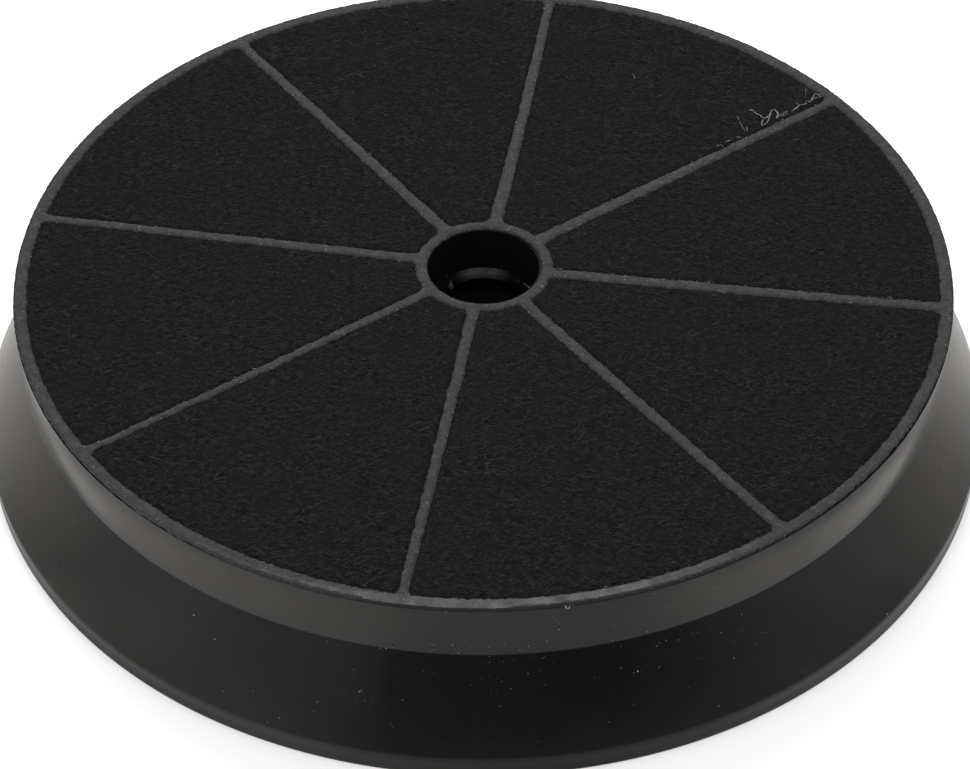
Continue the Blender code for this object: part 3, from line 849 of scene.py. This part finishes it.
def seam_ring(inner, outer, steps, fringes, crowns, on_rim=False):
    """A ring of seam between two radii, with the fringes that its inner and outer edges wander by and how far
    it drops towards them. The one on the rim is wider or stops short in places."""
    form = flat_disc(inner, outer, SEAM_TOP, RING_WIDTH_STEPS, steps)
    for vert in form.verts:
        turn = atan2(vert.co.y, vert.co.x)
        reach = hypot(vert.co.x, vert.co.y)
        share = 2 * (reach - inner) / (outer - inner) - 1
        reach += fringes[share > 0] * share * stray(reach * cos(turn), reach * sin(turn), 5.0 + (share > 0))
        if on_rim:
            reach -= bared(turn) * (share + 1) / 2 + widened(turn) * (1 - share) / 2
        x, y = reach * cos(turn), reach * sin(turn)
        vert.co = (x, y, seam_level(x, y, share, crowns[share > 0]))
    closed_disc(form, SEAM_BOTTOM)
    return form


def seam_spoke(number):
    """One wandering spoke of the seam, from under the hub ring to under the rim ring."""
    form = bmesh.new()
    bmesh.ops.create_grid(form, x_segments=SPOKE_LENGTH_STEPS, y_segments=SPOKE_WIDTH_STEPS, size=1.0)
    turn = number * SECTOR
    inner = HUB_SEAM_OUTER - 1.0 * MM
    outer = RIM_SEAM_INNER + 1.0 * MM
    for vert in form.verts:
        reach = inner + (outer - inner) * (vert.co.x + 1) / 2
        share = vert.co.y
        edge = number + (0.5 if share > 0 else 0.0)
        half = track_width(number, reach) / 2 + SPOKE_FRINGE * stray(reach, edge, 2.0)
        side = track_offset(number, reach) + share * half
        x = reach * cos(turn) - side * sin(turn)
        y = reach * sin(turn) + side * cos(turn)
        vert.co = (x, y, seam_level(x, y, share))
    border = [edge for edge in form.edges if edge.is_boundary]
    for vert in bmesh.ops.extrude_edge_only(form, edges=border)["geom"]:
        if isinstance(vert, bmesh.types.BMVert):
            vert.co.z = SEAM_BOTTOM
    bmesh.ops.holes_fill(form, edges=[edge for edge in form.edges if edge.is_boundary], sides=0)
    bmesh.ops.recalc_face_normals(form, faces=form.faces)
    return form


def painted(material, name):
    """A value that is stored on the piece's points or faces."""
    value = material.node_tree.nodes.new("ShaderNodeAttribute")
    value.attribute_name = name
    return value.outputs["Fac"]


def melted_plastic(name, color, pale, highlight_pale):
    """Melted plastic: a rough dark skin with paler grains and patches, a painted highlight on the front of
    the rim ring, and as glossy and black as the housing on its upright outer side."""
    material = new_finish(name, color, 0.62, SEAM_GLOSS)
    grains = combined(material, "ADD", grain(material, 3000.0, 3.0, rough=0.75),
                      product(material, grain(material, 650.0, 3.0), 0.55))
    patches = product(material, ranged(material, grain(material, 380.0), 0.38, 0.62, 0.45, 1.2),
                      ranged(material, grain(material, 950.0), 0.36, 0.64, 0.50, 1.45))
    flecks = product(material, ranged(material, grain(material, 1900.0, 1.0), 0.70, 0.76, 0.0, 0.8), patches)
    skin = mixed(material, product(material, patches, ranged(material, grains, 0.62, 0.98)), color, pale)
    streaks = ranged(material, grain(material, 300.0), 0.44, 0.56, 0.55, 1.0)
    # Painted highlight on the front of the rim ring, paler towards the camera's side.
    painted_highlight = product(material, painted(material, "painted_front_highlight"), streaks,
                     ranged(material, grains, 0.45, 1.1, 0.35, 1.0))
    worn = mixed(material, flecks, mixed(material, painted_highlight, skin, highlight_pale), FLECK_PALE)
    # Painted shade: the rim ring's outermost border is darkened to the seam's dark skin.
    worn = mixed(material, painted(material, "painted_edge_shade"), worn, color)
    outer = painted(material, "outer_side")
    inward = combined(material, "SUBTRACT", 1.0, outer)
    into(material, mixed(material, outer, worn, PLASTIC_BLACK), "Base Color")
    dull = product(material, inward, ranged(material, grains, 0.5, 1.0, 0.45, 0.75))
    into(material, combined(material, "ADD", dull, product(material, outer, PLASTIC_ROUGHNESS)), "Roughness")
    into(material, ranged(material, outer, 0.0, 1.0, SEAM_GLOSS, PLASTIC_GLOSS), "Specular IOR Level")
    relief(material, product(material, inward, grains), 0.2 * MM, 0.9)
    return material


hub_ring = seam_ring(HUB_RING_INNER, HUB_RING_OUTER, HUB_RING_STEPS, HUB_FRINGE, (SEAM_CROWN, SEAM_CROWN))
bmesh.ops.translate(hub_ring, verts=hub_ring.verts, vec=HUB_RING_SHIFT)
forms = [seam_ring(RIM_SEAM_INNER, RIM_RADIUS, RIM_STEPS, RIM_FRINGE, RING_CROWN, True), hub_ring]
forms += [seam_spoke(number) for number in range(RIB_COUNT)]
seam = new_piece("melted_seam", gathered(forms))
shade(seam, radians(60))
painted_front_highlight = seam.data.attributes.new("painted_front_highlight", "FLOAT", "POINT")
outer_side = seam.data.attributes.new("outer_side", "FLOAT", "FACE")
painted_edge_shade = seam.data.attributes.new("painted_edge_shade", "FLOAT", "FACE")
# The front of the rim ring gets a painted highlight, stored on its points.
for vert in seam.data.vertices:
    x, y = vert.co.x, vert.co.y
    away = (atan2(y, x) - FRONT_HIGHLIGHT_MIDDLE + pi) % (2 * pi) - pi
    front = 1 - min(1.0, max(0.0, (abs(away) - FRONT_HIGHLIGHT_SPREAD[0]) / (FRONT_HIGHLIGHT_SPREAD[1] - FRONT_HIGHLIGHT_SPREAD[0])))
    highlight_start = RIM_SEAM_INNER + FRONT_HIGHLIGHT_INSET * min(1.0, max(0.0, (-away - radians(8)) / radians(14)))
    on_rim = min(1.0, max(0.0, (hypot(x, y) - highlight_start) / FRONT_HIGHLIGHT_FADE))
    painted_front_highlight.data[vert.index].value = front * on_rim * (0.62 + 0.5 * rough(x, y, 0.0, 3.0 * MM, 1.0))
for face in seam.data.polygons:
    x, y, z = face.center
    turn = atan2(y, x) % (2 * pi)
    inside = RIM_RADIUS - bared(turn) - hypot(x, y)
    upright = abs(face.normal.z) < 0.5 and inside < SIDE_DEPTH
    # The outermost border of the rim ring is marked for painted shade.
    border = inside < BORDER * (1 + 0.8 * rough(x, y, 0.0, 1.4 * MM, 7.0))
    border = border and abs(turn - BORDER_AT_HIGHLIGHT[0]) > BORDER_AT_HIGHLIGHT[1]
    outer_side.data[face.index].value = 1.0 if upright else 0.0
    painted_edge_shade.data[face.index].value = 1.0 if border and not upright else 0.0
seam.data.materials.append(melted_plastic("melted seam plastic", SEAM_GREY, SEAM_PALE, FRONT_HIGHLIGHT_PALE))
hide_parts("weld_seam")
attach(seam, "root")


# Frayed strands and painted glints
# Threads of the same plastic that were drawn out as the hot plate came off and set on the felt beside one
# spoke, a few in the hub, and thin slivers of flash along the edges of the seams. The slivers and the short
# dashes along the spokes' edges are paler than the seam: painted glints where those edges catch the light.
STRAND_LIFT = 0.02 * MM
# Paths in pixels of the picture, each with its thickness in mm first. The short paths along the spokes'
# edges are painted glints.
STRANDS = (
    (0.13, (748.6, 110.3), (752.3, 111.1), (755.5, 113.5), (759.7, 116.1), (764.0, 118.5), (768.3, 116.9),
     (770.9, 112.7), (773.6, 110.0), (776.3, 112.1), (777.9, 115.9), (775.7, 119.1)),
    (0.11, (764.0, 118.5), (761.3, 125.5), (765.1, 124.4), (768.3, 121.2), (770.9, 112.7)),
    (0.16, (776.3, 112.1), (779.5, 115.0), (783.2, 113.7), (787.5, 111.1)),
    (0.10, (777.0, 118.0), (781.5, 116.5), (786.0, 114.5)),
    (0.12, (790.7, 112.1), (793.9, 110.0), (796.5, 107.9), (800.3, 105.7), (804.5, 104.7), (807.2, 103.9)),
    (0.08, (795.5, 103.6), (799.2, 105.2), (801.0, 106.0)),
    (0.11, (807.7, 102.0), (810.9, 102.0), (813.0, 97.2), (815.7, 94.5), (818.4, 95.1), (820.5, 97.7),
     (815.7, 98.3), (812.0, 100.5)),
    (0.06, (736.8, 116.4), (739.5, 121.2), (742.1, 126.5), (745.3, 131.3), (748.5, 131.9)),
    (0.10, (745.9, 128.1), (747.4, 130.0)),
    (0.08, (717.0, 146.8), (720.5, 145.8), (723.5, 146.3)),
    (0.08, (725.0, 143.0), (728.0, 141.8), (731.0, 140.4)),
    (0.07, (736.3, 137.7), (739.0, 137.6), (742.7, 136.7)),
    (0.09, (759.0, 132.4), (761.6, 133.2)),
    (0.05, (805.6, 88.7), (806.0, 93.0), (805.4, 97.7)),
    (0.12, (582.0, 272.0), (587.0, 272.3)),
    (0.08, (605.0, 275.2), (608.0, 275.5)),
    (0.09, (645.0, 278.6), (650.0, 279.0), (656.0, 279.4)),
    (0.10, (662.0, 279.8), (664.0, 280.0)),
    (0.08, (681.0, 282.3), (686.0, 282.9), (692.0, 283.3)),
    (0.13, (697.0, 283.6), (701.0, 283.9), (704.7, 284.2)),
    (0.09, (721.0, 285.0), (723.5, 285.3)),
    (0.07, (737.0, 287.6), (748.0, 288.4), (760.0, 289.2)),
    (0.07, (632.0, 74.0), (634.5, 76.5), (634.0, 79.0)),
    (0.08, (157.0, 353.5), (159.0, 354.5)),
    (0.08, (499.0, 554.5), (501.0, 555.5)),
    (0.13, (564.9, 604.4), (567.9, 607.4), (570.0, 604.2)))
SLIVER_COUNT = 260
SLIVER_LENGTH = (0.25 * MM, 1.1 * MM)
SLIVER_THICKNESS = (0.025 * MM, 0.06 * MM)
GLINTING_SPOKES = (0, 0, 0, 1, 1, 1, 2, 3, 4, 5, 5, 6, 7)
STRAND_GREY = (0.070, 0.069, 0.068)
STRAND_AND_GLINT_PALE = (0.30, 0.295, 0.29)
STRAND_FULLNESS = 1.7
STRAND_STRAY = 0.06 * MM
STRAND_VARIES = (0.4, 1.7)
STRAND_TIP = 0.45
# Share of the slivers that lie along the rim ring, and how far the ends of each lie below its middle.
RIM_SLIVERS = 0.14
SLIVER_DIP = 0.1 * MM
# Crumbs of plastic beside the thick threads.
CRUMB_SHARE = 0.6
CRUMB_STRAY = 0.25 * MM
CRUMB_POINTS = (0.0, 0.35, 0.7, 1.0)
CRUMB_LENGTH = (0.15 * MM, 0.5 * MM)
CRUMB_THICKNESS = (0.04 * MM, 0.09 * MM)


def pixel_ray(x, y):
    """Direction from the camera through a pixel of the picture."""
    aim = Vector(((x - IMAGE_WIDTH / 2) / FOCAL_PIXELS, (IMAGE_HEIGHT / 2 - y) / FOCAL_PIXELS, -1.0))
    return (camera.matrix_world.to_3x3() @ aim).normalized()


def on_felt(x, y, lift):
    """Where a pixel's line of sight meets the felt."""
    start = camera.matrix_world.translation
    aim = pixel_ray(x, y)
    spot = start + aim * (PANEL_TOP - start.z) / aim.z
    return (spot.x, spot.y, min(SEAM_TOP - lift, felt_level(spot.x, spot.y) + 0.05 * MM + lift))


def thread(curve, points, thickness):
    """Add a thread through points to a curve, thinner towards its ends."""
    spline = curve.splines.new("POLY")
    spline.points.add(len(points) - 1)
    last = len(points) - 1
    for place, (point, spot) in enumerate(zip(spline.points, points)):
        point.co = (*spot, 1.0)
        point.radius = thickness * (STRAND_TIP if place in (0, last) else luck.uniform(*STRAND_VARIES))


def smoothed(points, steps):
    """Points read along a soft curve through the given ones."""
    spots = [Vector(point) for point in points]
    spots = [2 * spots[0] - spots[1]] + spots + [2 * spots[-1] - spots[-2]]
    result = []
    for a, b, c, d in zip(spots, spots[1:], spots[2:], spots[3:]):
        for step in range(steps):
            t = step / steps
            result.append(0.5 * (2 * b + (c - a) * t + (2 * a - 5 * b + 4 * c - d) * t * t
                                 + (3 * b - a - 3 * c + d) * t ** 3))
    return result + [spots[-2]]


def drawn_threads(name, curve):
    """One mesh of closed tubes from a curve of threads."""
    curve.dimensions = "3D"
    curve.bevel_depth = 1.0
    curve.bevel_resolution = 1
    curve.use_fill_caps = True
    mesh = curve_mesh(name, curve)
    form = bmesh.new()
    form.from_mesh(mesh)
    bpy.data.meshes.remove(mesh)
    bmesh.ops.remove_doubles(form, verts=form.verts, dist=0.001 * MM)
    bmesh.ops.recalc_face_normals(form, faces=form.faces)
    piece = new_piece(name, form)
    piece.data.materials.clear()
    piece.data.shade_smooth()
    return piece


luck = Random(21)
strand_curve = bpy.data.curves.new("frayed_strands_and_glints", "CURVE")
for thickness, *path in STRANDS:
    thickness *= STRAND_FULLNESS
    spots = smoothed([on_felt(x, y, thickness / 2 * MM + STRAND_LIFT) for x, y in path], 3)
    ceiling = SEAM_TOP - thickness * 0.6 * MM
    thread(strand_curve, [(spot.x + luck.gauss(0.0, STRAND_STRAY), spot.y + luck.gauss(0.0, STRAND_STRAY),
                           min(spot.z, ceiling)) for spot in spots], thickness / 2 * MM)
    for spot in spots[::3]:
        if luck.random() < CRUMB_SHARE and thickness > 0.15:
            x, y = spot.x + luck.gauss(0.0, CRUMB_STRAY), spot.y + luck.gauss(0.0, CRUMB_STRAY)
            heading, length = luck.uniform(0.0, pi), luck.uniform(*CRUMB_LENGTH)
            level = min(SEAM_TOP - 0.1 * MM, felt_level(x, y) + 0.12 * MM)
            crumb = [(x + length * share * cos(heading), y + length * share * sin(heading), level)
                     for share in CRUMB_POINTS]
            thread(strand_curve, crumb, luck.uniform(*CRUMB_THICKNESS))
# Slivers of flash along the seams' edges, coloured pale as painted glints.
for number in range(SLIVER_COUNT):
    length = luck.uniform(*SLIVER_LENGTH)
    thickness = luck.uniform(*SLIVER_THICKNESS)
    if luck.random() < RIM_SLIVERS:
        turn = luck.gauss(TRIM_FLUSH, 0.5)
        reach = luck.choice((RIM_SEAM_INNER + 0.1 * MM, RIM_RADIUS - 0.25 * MM)) + luck.gauss(0.0, 0.1 * MM)
        heading = turn + pi / 2
    else:
        spoke = luck.choice(GLINTING_SPOKES)
        reach = luck.uniform(HUB_SEAM_OUTER, RIM_SEAM_INNER)
        side = luck.choice((1, 1, -1)) * (track_width(spoke, reach) / 2 - luck.uniform(0.1, 0.35) * MM)
        side += track_offset(spoke, reach)
        turn = spoke * SECTOR + side / reach
        heading = spoke * SECTOR + luck.gauss(0.0, 0.25)
    x, y = reach * cos(turn), reach * sin(turn)
    level = SEAM_TOP - thickness * 1.1 - luck.uniform(0.0, 0.08) * MM
    sliver = [(x + length * share * cos(heading), y + length * share * sin(heading), level - dip)
              for share, dip in ((0.0, SLIVER_DIP), (0.5, 0.0), (1.0, SLIVER_DIP))]
    thread(strand_curve, sliver, thickness)
strands = drawn_threads("frayed_strands_and_glints", strand_curve)
strand_and_glint_finish = new_finish("drawn seam plastic and painted glints", STRAND_GREY, 0.55, 0.4)
toned(strand_and_glint_finish, grain(strand_and_glint_finish, 2500.0), 0.45, 0.56, STRAND_GREY, STRAND_AND_GLINT_PALE)
strands.data.materials.append(strand_and_glint_finish)
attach(strands, "root")


# Dust and lint
# Grains of dust, a few hairs and short scratches that lie on the collar and the skirt, most of them at the
# front, and on the plastic inside the hub.
GRAIN_SIZE = (0.08 * MM, 0.18 * MM)
SCATTERED_GRAINS = 150
# Single grains, then the middles and spreads of places with many, in pixels of the picture.
DUST_SPOTS = ((680.8, 630.4), (720.8, 632.8), (741.6, 614.4), (745.6, 651), (756, 644), (637.6, 671),
              (659, 667), (633.6, 705), (689, 687), (609, 722), (340, 665), (372, 702), (344, 691),
              (279.5, 718), (213.6, 686), (317.6, 702), (74, 520), (198, 593), (194, 615), (215, 639),
              (79, 629), (941, 469), (887, 614), (442.4, 625.8), (386, 648), (500, 706), (537, 741),
              (558.9, 629), (458.6, 653), (469, 645.8), (479, 647), (492, 650.4), (495, 651), (560.7, 644.6),
              (410.6, 645.2), (519.8, 650), (446, 612), (400, 639), (501.6, 266.6), (446.4, 276.2))
LARGE_SPOTS = ((327.5, 641.2), (392.7, 645.8), (558.9, 628.5))
DUSTY_PLACES = ((480, 672, 34, 16), (450, 648, 40, 4), (600, 655, 90, 25), (330, 690, 70, 20),
                (700, 640, 50, 30))
# The sizes of the three large grains and the scattered ones against a single one's, and the share of its size
# that a grain's middle stands out of the surface.
LARGE_SHARE = 1.8
SMALL_SHARE = 0.6
GRAIN_LIFT = 0.3
# Hairs and scratches: tone from 0 to 1, thickness in mm, then the path.
LINT = ((1.0, 0.13, (552.3, 616.4), (556.5, 621.2), (558.9, 623.6)),
        (0.5, 0.07, (455.0, 612.8), (457.5, 613.6), (459.2, 616.4)),
        (0.7, 0.08, (390.0, 723.0), (392.0, 726.0), (395.0, 729.0)),
        (0.3, 0.09, (56.0, 554.0), (60.0, 563.0), (65.6, 576.0)),
        (0.0, 0.10, (701.0, 677.0), (701.3, 690.0), (701.0, 704.0)),
        (0.0, 0.10, (757.6, 667.0), (757.8, 677.0)),
        (0.35, 0.85, (451.4, 281.1), (449.6, 287.5), (449.0, 294.5)),
        (0.35, 0.32, (518.0, 281.0), (524.0, 284.0), (531.0, 289.0)))
LINT_DARK = (0.003, 0.003, 0.003)
LINT_FULL_TONE = 0.4
DUST_DARK = (0.07, 0.068, 0.065)
DUST_GREY = (0.42, 0.415, 0.40)

bpy.context.view_layer.update()


def on_housing(x, y):
    """Where a pixel's line of sight meets the housing, and the way its surface faces there."""
    found, spot, facing, face = housing.ray_cast(camera.matrix_world.translation, pixel_ray(x, y))
    return (spot, facing) if found else None


luck = Random(33)
pixels = [(x, y, 1.0) for x, y in DUST_SPOTS] + [(x, y, LARGE_SHARE) for x, y in LARGE_SPOTS]
for number in range(SCATTERED_GRAINS):
    x, y, wide, high = luck.choice(DUSTY_PLACES)
    pixels.append((luck.gauss(x, wide), luck.gauss(y, high), SMALL_SHARE))
grains = []
for x, y, share in pixels:
    hit = on_housing(x, y)
    size = luck.uniform(*GRAIN_SIZE) * share
    if hit and hypot(hit[0].x, hit[0].y) + size < SKIRT_RADIUS:
        form = bmesh.new()
        bmesh.ops.create_icosphere(form, subdivisions=1, radius=size)
        for vert in form.verts:
            vert.co *= luck.uniform(0.7, 1.3)
        bmesh.ops.translate(form, verts=form.verts, vec=hit[0] + hit[1] * size * GRAIN_LIFT)
        grains.append(form)
dust = new_piece("dust_grains", gathered(grains))
dust.data.shade_smooth()
dust_finish = new_finish("dust", DUST_GREY, 0.8, 0.3)
toned(dust_finish, grain(dust_finish, 400.0, 1.0), 0.4, 0.6, DUST_DARK, DUST_GREY)
dust.data.materials.append(dust_finish)
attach(dust, "root")

for number, (tone, thickness, *path) in enumerate(LINT):
    hits = [on_housing(x, y) for x, y in path]
    spots = smoothed([spot + facing * 0.2 * thickness * MM for spot, facing in hits], 4)
    curve = bpy.data.curves.new("lint", "CURVE")
    thread(curve, spots, thickness / 2 * MM)
    lint = drawn_threads("lint_%d" % (number + 1), curve)
    color = tuple(dark + (pale - dark) * tone * LINT_FULL_TONE for dark, pale in zip(LINT_DARK, DUST_GREY))
    lint_finish = new_finish("lint %d" % (number + 1), color, 0.6, 0.3)
    shaded = tuple(share * 0.6 for share in color)
    toned(lint_finish, grain(lint_finish, 800.0, 1.0), 0.35, 0.65, shaded, color)
    lint.data.materials.append(lint_finish)
    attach(lint, "root")


# Floor, sky and lamps
# A pale plain floor under a white studio sky. The camera stands in a dark gap of that sky near the
# horizon, which the skirt mirrors, and a broad lamp behind and above gives the soft shadow.
FLOOR_HALF = 4.0
FLOOR_COLOR = (0.86, 0.86, 0.86)
FLOOR_WARM = (0.86, 0.825, 0.785)
FLOOR_SEEN = 0.38
FLOOR_MIRRORED = 0.35
# How bright the floor looks in the gloss of the plastic, by the angle from the camera's side, left negative:
# at the foot, in the lit ring round it that the collar mirrors, and farther out where the skirt looks.
FLOOR_AT_FOOT = ((-180, 0.60), (-81, 0.62), (-71, 0.47), (-59, 0.45), (-50, 0.41), (-35, 0.50),
                 (-18, 0.60), (-4, 0.49), (2, 0.42), (14, 0.44), (20, 0.50), (30, 0.49), (39, 0.53),
                 (51, 0.46), (60, 0.42), (69, 0.42), (76, 0.50), (180, 0.50))
FLOOR_NEAR = ((-180, 0.60), (-104, 0.70), (-92, 1.0), (-72, 1.0), (-66, 0.90), (-56, 0.76), (-43, 0.78),
              (-28, 0.78), (-20, 0.79), (-12, 0.62), (-4, 0.555), (10, 0.52), (18, 0.55), (26, 0.60),
              (33, 0.76), (41, 0.80), (48, 0.78), (56, 0.86), (64, 0.98), (72, 1.0), (90, 1.0), (104, 0.66),
              (180, 0.60))
FLOOR_FAR = ((-180, 0.60), (-104, 0.70), (-96, 0.64), (-86, 0.58), (-81, 0.52), (-77, 0.48), (-72, 0.40),
             (-66, 0.375), (-60, 0.46), (-52, 0.38), (-46, 0.27), (-40, 0.26), (-29, 0.22), (-20, 0.10),
             (-12, 0.05), (28, 0.05), (36, 0.06), (44, 0.12), (50, 0.155), (56, 0.21), (61, 0.28), (66, 0.36),
             (75, 0.38), (81, 0.42), (88, 0.50), (96, 0.66), (104, 0.70), (180, 0.60))
# Distances from the axis over which one goes over into the next, which lie farther out towards the camera by
# the slants, and over which the ring brightens: from and to, and how bright it starts and ends.
FOOT_FADE = (0.1047, 0.1062)
FOOT_SLANT = 0.012
RING_FADE = (0.102, 0.1045)
RING_SLANT = 0.20
RING_RISE = (0.106, 0.118, 0.90, 1.00)
# A little more light on the floor before the filter: its distances, its level, and the shares ahead.
TAIL_RISE = (0.12, 0.75, 0.14, 0.0)
TAIL_SIDES = (0.45, 0.75)
# Distances between which the floor under the hub goes over from black.
HUB_SHADE = (0.02, 0.04, 1.0, 0.0)
# Brightness of the sky near the horizon, by the angle from the camera's side, and the heights between which
# it goes over into the sky above.
HORIZON = ((-180, 0.90), (-120, 0.85), (-100, 0.80), (-75, 0.70), (-58, 0.64), (-51, 0.45), (-44, 0.43),
           (-29, 0.37), (-25, 0.36), (-19, 0.09), (10, 0.05), (28, 0.04), (36, 0.08), (44, 0.17), (50, 0.25),
           (56, 0.37), (62, 0.52), (70, 0.60), (85, 0.68), (100, 0.76), (130, 0.85), (180, 0.90))
HORIZON_TOP = (0.28, 0.55)
SKY_ABOVE = (0.95, 0.95, 0.95)
WHITE = (1.0, 1.0, 1.0)
BLACK = (0.0, 0.0, 0.0, 1.0)
LAMP_SIZE = 0.7
LAMP_POWER = 6.0
LAMP_PLACE = Vector((-0.25, 0.75, 1.0))


def bearing(material, place):
    """How far a place or a direction goes to the camera's side, and its bearing from there in full turns."""
    ahead = reach_along(material, place, PICTURE_NEAR)
    turn = combined(material, "ARCTAN2", reach_along(material, place, PICTURE_RIGHT), ahead)
    return ahead, combined(material, "MULTIPLY_ADD", turn, 0.5 / pi, 0.5)


def level_round(material, around, steps):
    """A grey level that follows listed steps of (angle from the camera's side in degrees, level)."""
    ramp = material.node_tree.nodes.new("ShaderNodeValToRGB")
    material.node_tree.links.new(around, ramp.inputs["Fac"])
    stops = ramp.color_ramp.elements
    while len(stops) < len(steps):
        stops.new(0.5)
    for stop_here, (angle, level) in zip(stops, steps):
        stop_here.position = angle / 360 + 0.5
        stop_here.color = (level, level, level, 1.0)
    return ramp.outputs["Color"]


def going_over(material, reach, fade, first, second):
    """A level that goes over softly from a first to a second one between two distances."""
    share = ranged(material, reach, *fade, soft=True)
    return combined(material, "MULTIPLY_ADD", share, combined(material, "SUBTRACT", second, first), first)


form = bmesh.new()
bmesh.ops.create_grid(form, x_segments=2, y_segments=2, size=FLOOR_HALF)
floor = new_piece("floor", form)
ground = bpy.data.materials.new("pale floor")
ground.use_nodes = True
nodes = ground.node_tree.nodes
links = ground.node_tree.links
nodes.clear()
distance = from_axis(ground)
ahead, around = bearing(ground, own_place(ground))
near = product(ground, level_round(ground, around, FLOOR_NEAR),
               ranged(ground, distance, *RING_RISE, soft=True))
tail = product(ground, ranged(ground, distance, *TAIL_RISE, soft=True),
               ranged(ground, combined(ground, "DIVIDE", ahead, distance), *TAIL_SIDES, soft=True))
far = combined(ground, "ADD", level_round(ground, around, FLOOR_FAR), tail)
foot_reach = combined(ground, "SUBTRACT", distance, product(ground, ahead, FOOT_SLANT))
ring_reach = combined(ground, "SUBTRACT", distance, product(ground, ahead, RING_SLANT))
level = going_over(ground, foot_reach, FOOT_FADE, level_round(ground, around, FLOOR_AT_FOOT), near)
level = going_over(ground, ring_reach, RING_FADE, level, far)
path = nodes.new("ShaderNodeLightPath")
mirrored = combined(ground, "MAXIMUM", path.outputs["Is Glossy Ray"], path.outputs["Is Transmission Ray"])
glow = combined(ground, "ADD", product(ground, path.outputs["Is Camera Ray"], FLOOR_SEEN),
                product(ground, mirrored, FLOOR_MIRRORED))
lit = nodes.new("ShaderNodeEmission")
# Under the filter the floor has no light of its own, so the hub stays dark.
outside = combined(ground, "GREATER_THAN", distance, FOOT_RADIUS)
links.new(product(ground, outside, glow), lit.inputs["Strength"])
pale = nodes.new("ShaderNodeBsdfDiffuse")
# In the gloss of the plastic the floor is warmer: a painted tint of the reflections.
links.new(mixed(ground, mirrored, FLOOR_COLOR, FLOOR_WARM), pale.inputs["Color"])
plain = nodes.new("ShaderNodeAddShader")
links.new(pale.outputs[0], plain.inputs[0])
links.new(lit.outputs[0], plain.inputs[1])
dark = nodes.new("ShaderNodeBsdfDiffuse")
dark.inputs["Color"].default_value = BLACK
unlit = product(ground, mirrored, combined(ground, "SUBTRACT", 1.0, level))
shown = nodes.new("ShaderNodeMixShader")
in_hub = ranged(ground, distance, *HUB_SHADE, soft=True)
links.new(combined(ground, "MAXIMUM", unlit, in_hub), shown.inputs[0])
links.new(plain.outputs[0], shown.inputs[1])
links.new(dark.outputs[0], shown.inputs[2])
links.new(shown.outputs[0], nodes.new("ShaderNodeOutputMaterial").inputs["Surface"])
floor.data.materials.append(ground)

sky = bpy.data.worlds.new("studio")
bpy.context.scene.world = sky
sky.use_nodes = True
nodes = sky.node_tree.nodes
links = sky.node_tree.links
nodes.clear()
direction = nodes.new("ShaderNodeTexCoord").outputs["Generated"]
horizon = level_round(sky, bearing(sky, direction)[1], HORIZON)
rise = ranged(sky, reach_along(sky, direction, (0.0, 0.0, 1.0)), *HORIZON_TOP, soft=True)
path = nodes.new("ShaderNodeLightPath")
seen = mixed(sky, path.outputs["Is Camera Ray"], mixed(sky, rise, horizon, SKY_ABOVE), WHITE)
background = nodes.new("ShaderNodeBackground")
links.new(seen, background.inputs["Color"])
links.new(background.outputs[0], nodes.new("ShaderNodeOutputWorld").inputs["Surface"])

lamp_data = bpy.data.lights.new("lamp_above", "AREA")
lamp_data.shape = "SQUARE"
lamp_data.size = LAMP_SIZE
lamp_data.energy = LAMP_POWER
lamp = bpy.data.objects.new("lamp_above", lamp_data)
lamp.matrix_world = (Matrix.Translation(LAMP_PLACE)
                     @ (LAMP_PLACE - hub_middle).to_track_quat("Z", "Y").to_matrix().to_4x4())
bpy.context.scene.collection.objects.link(lamp)
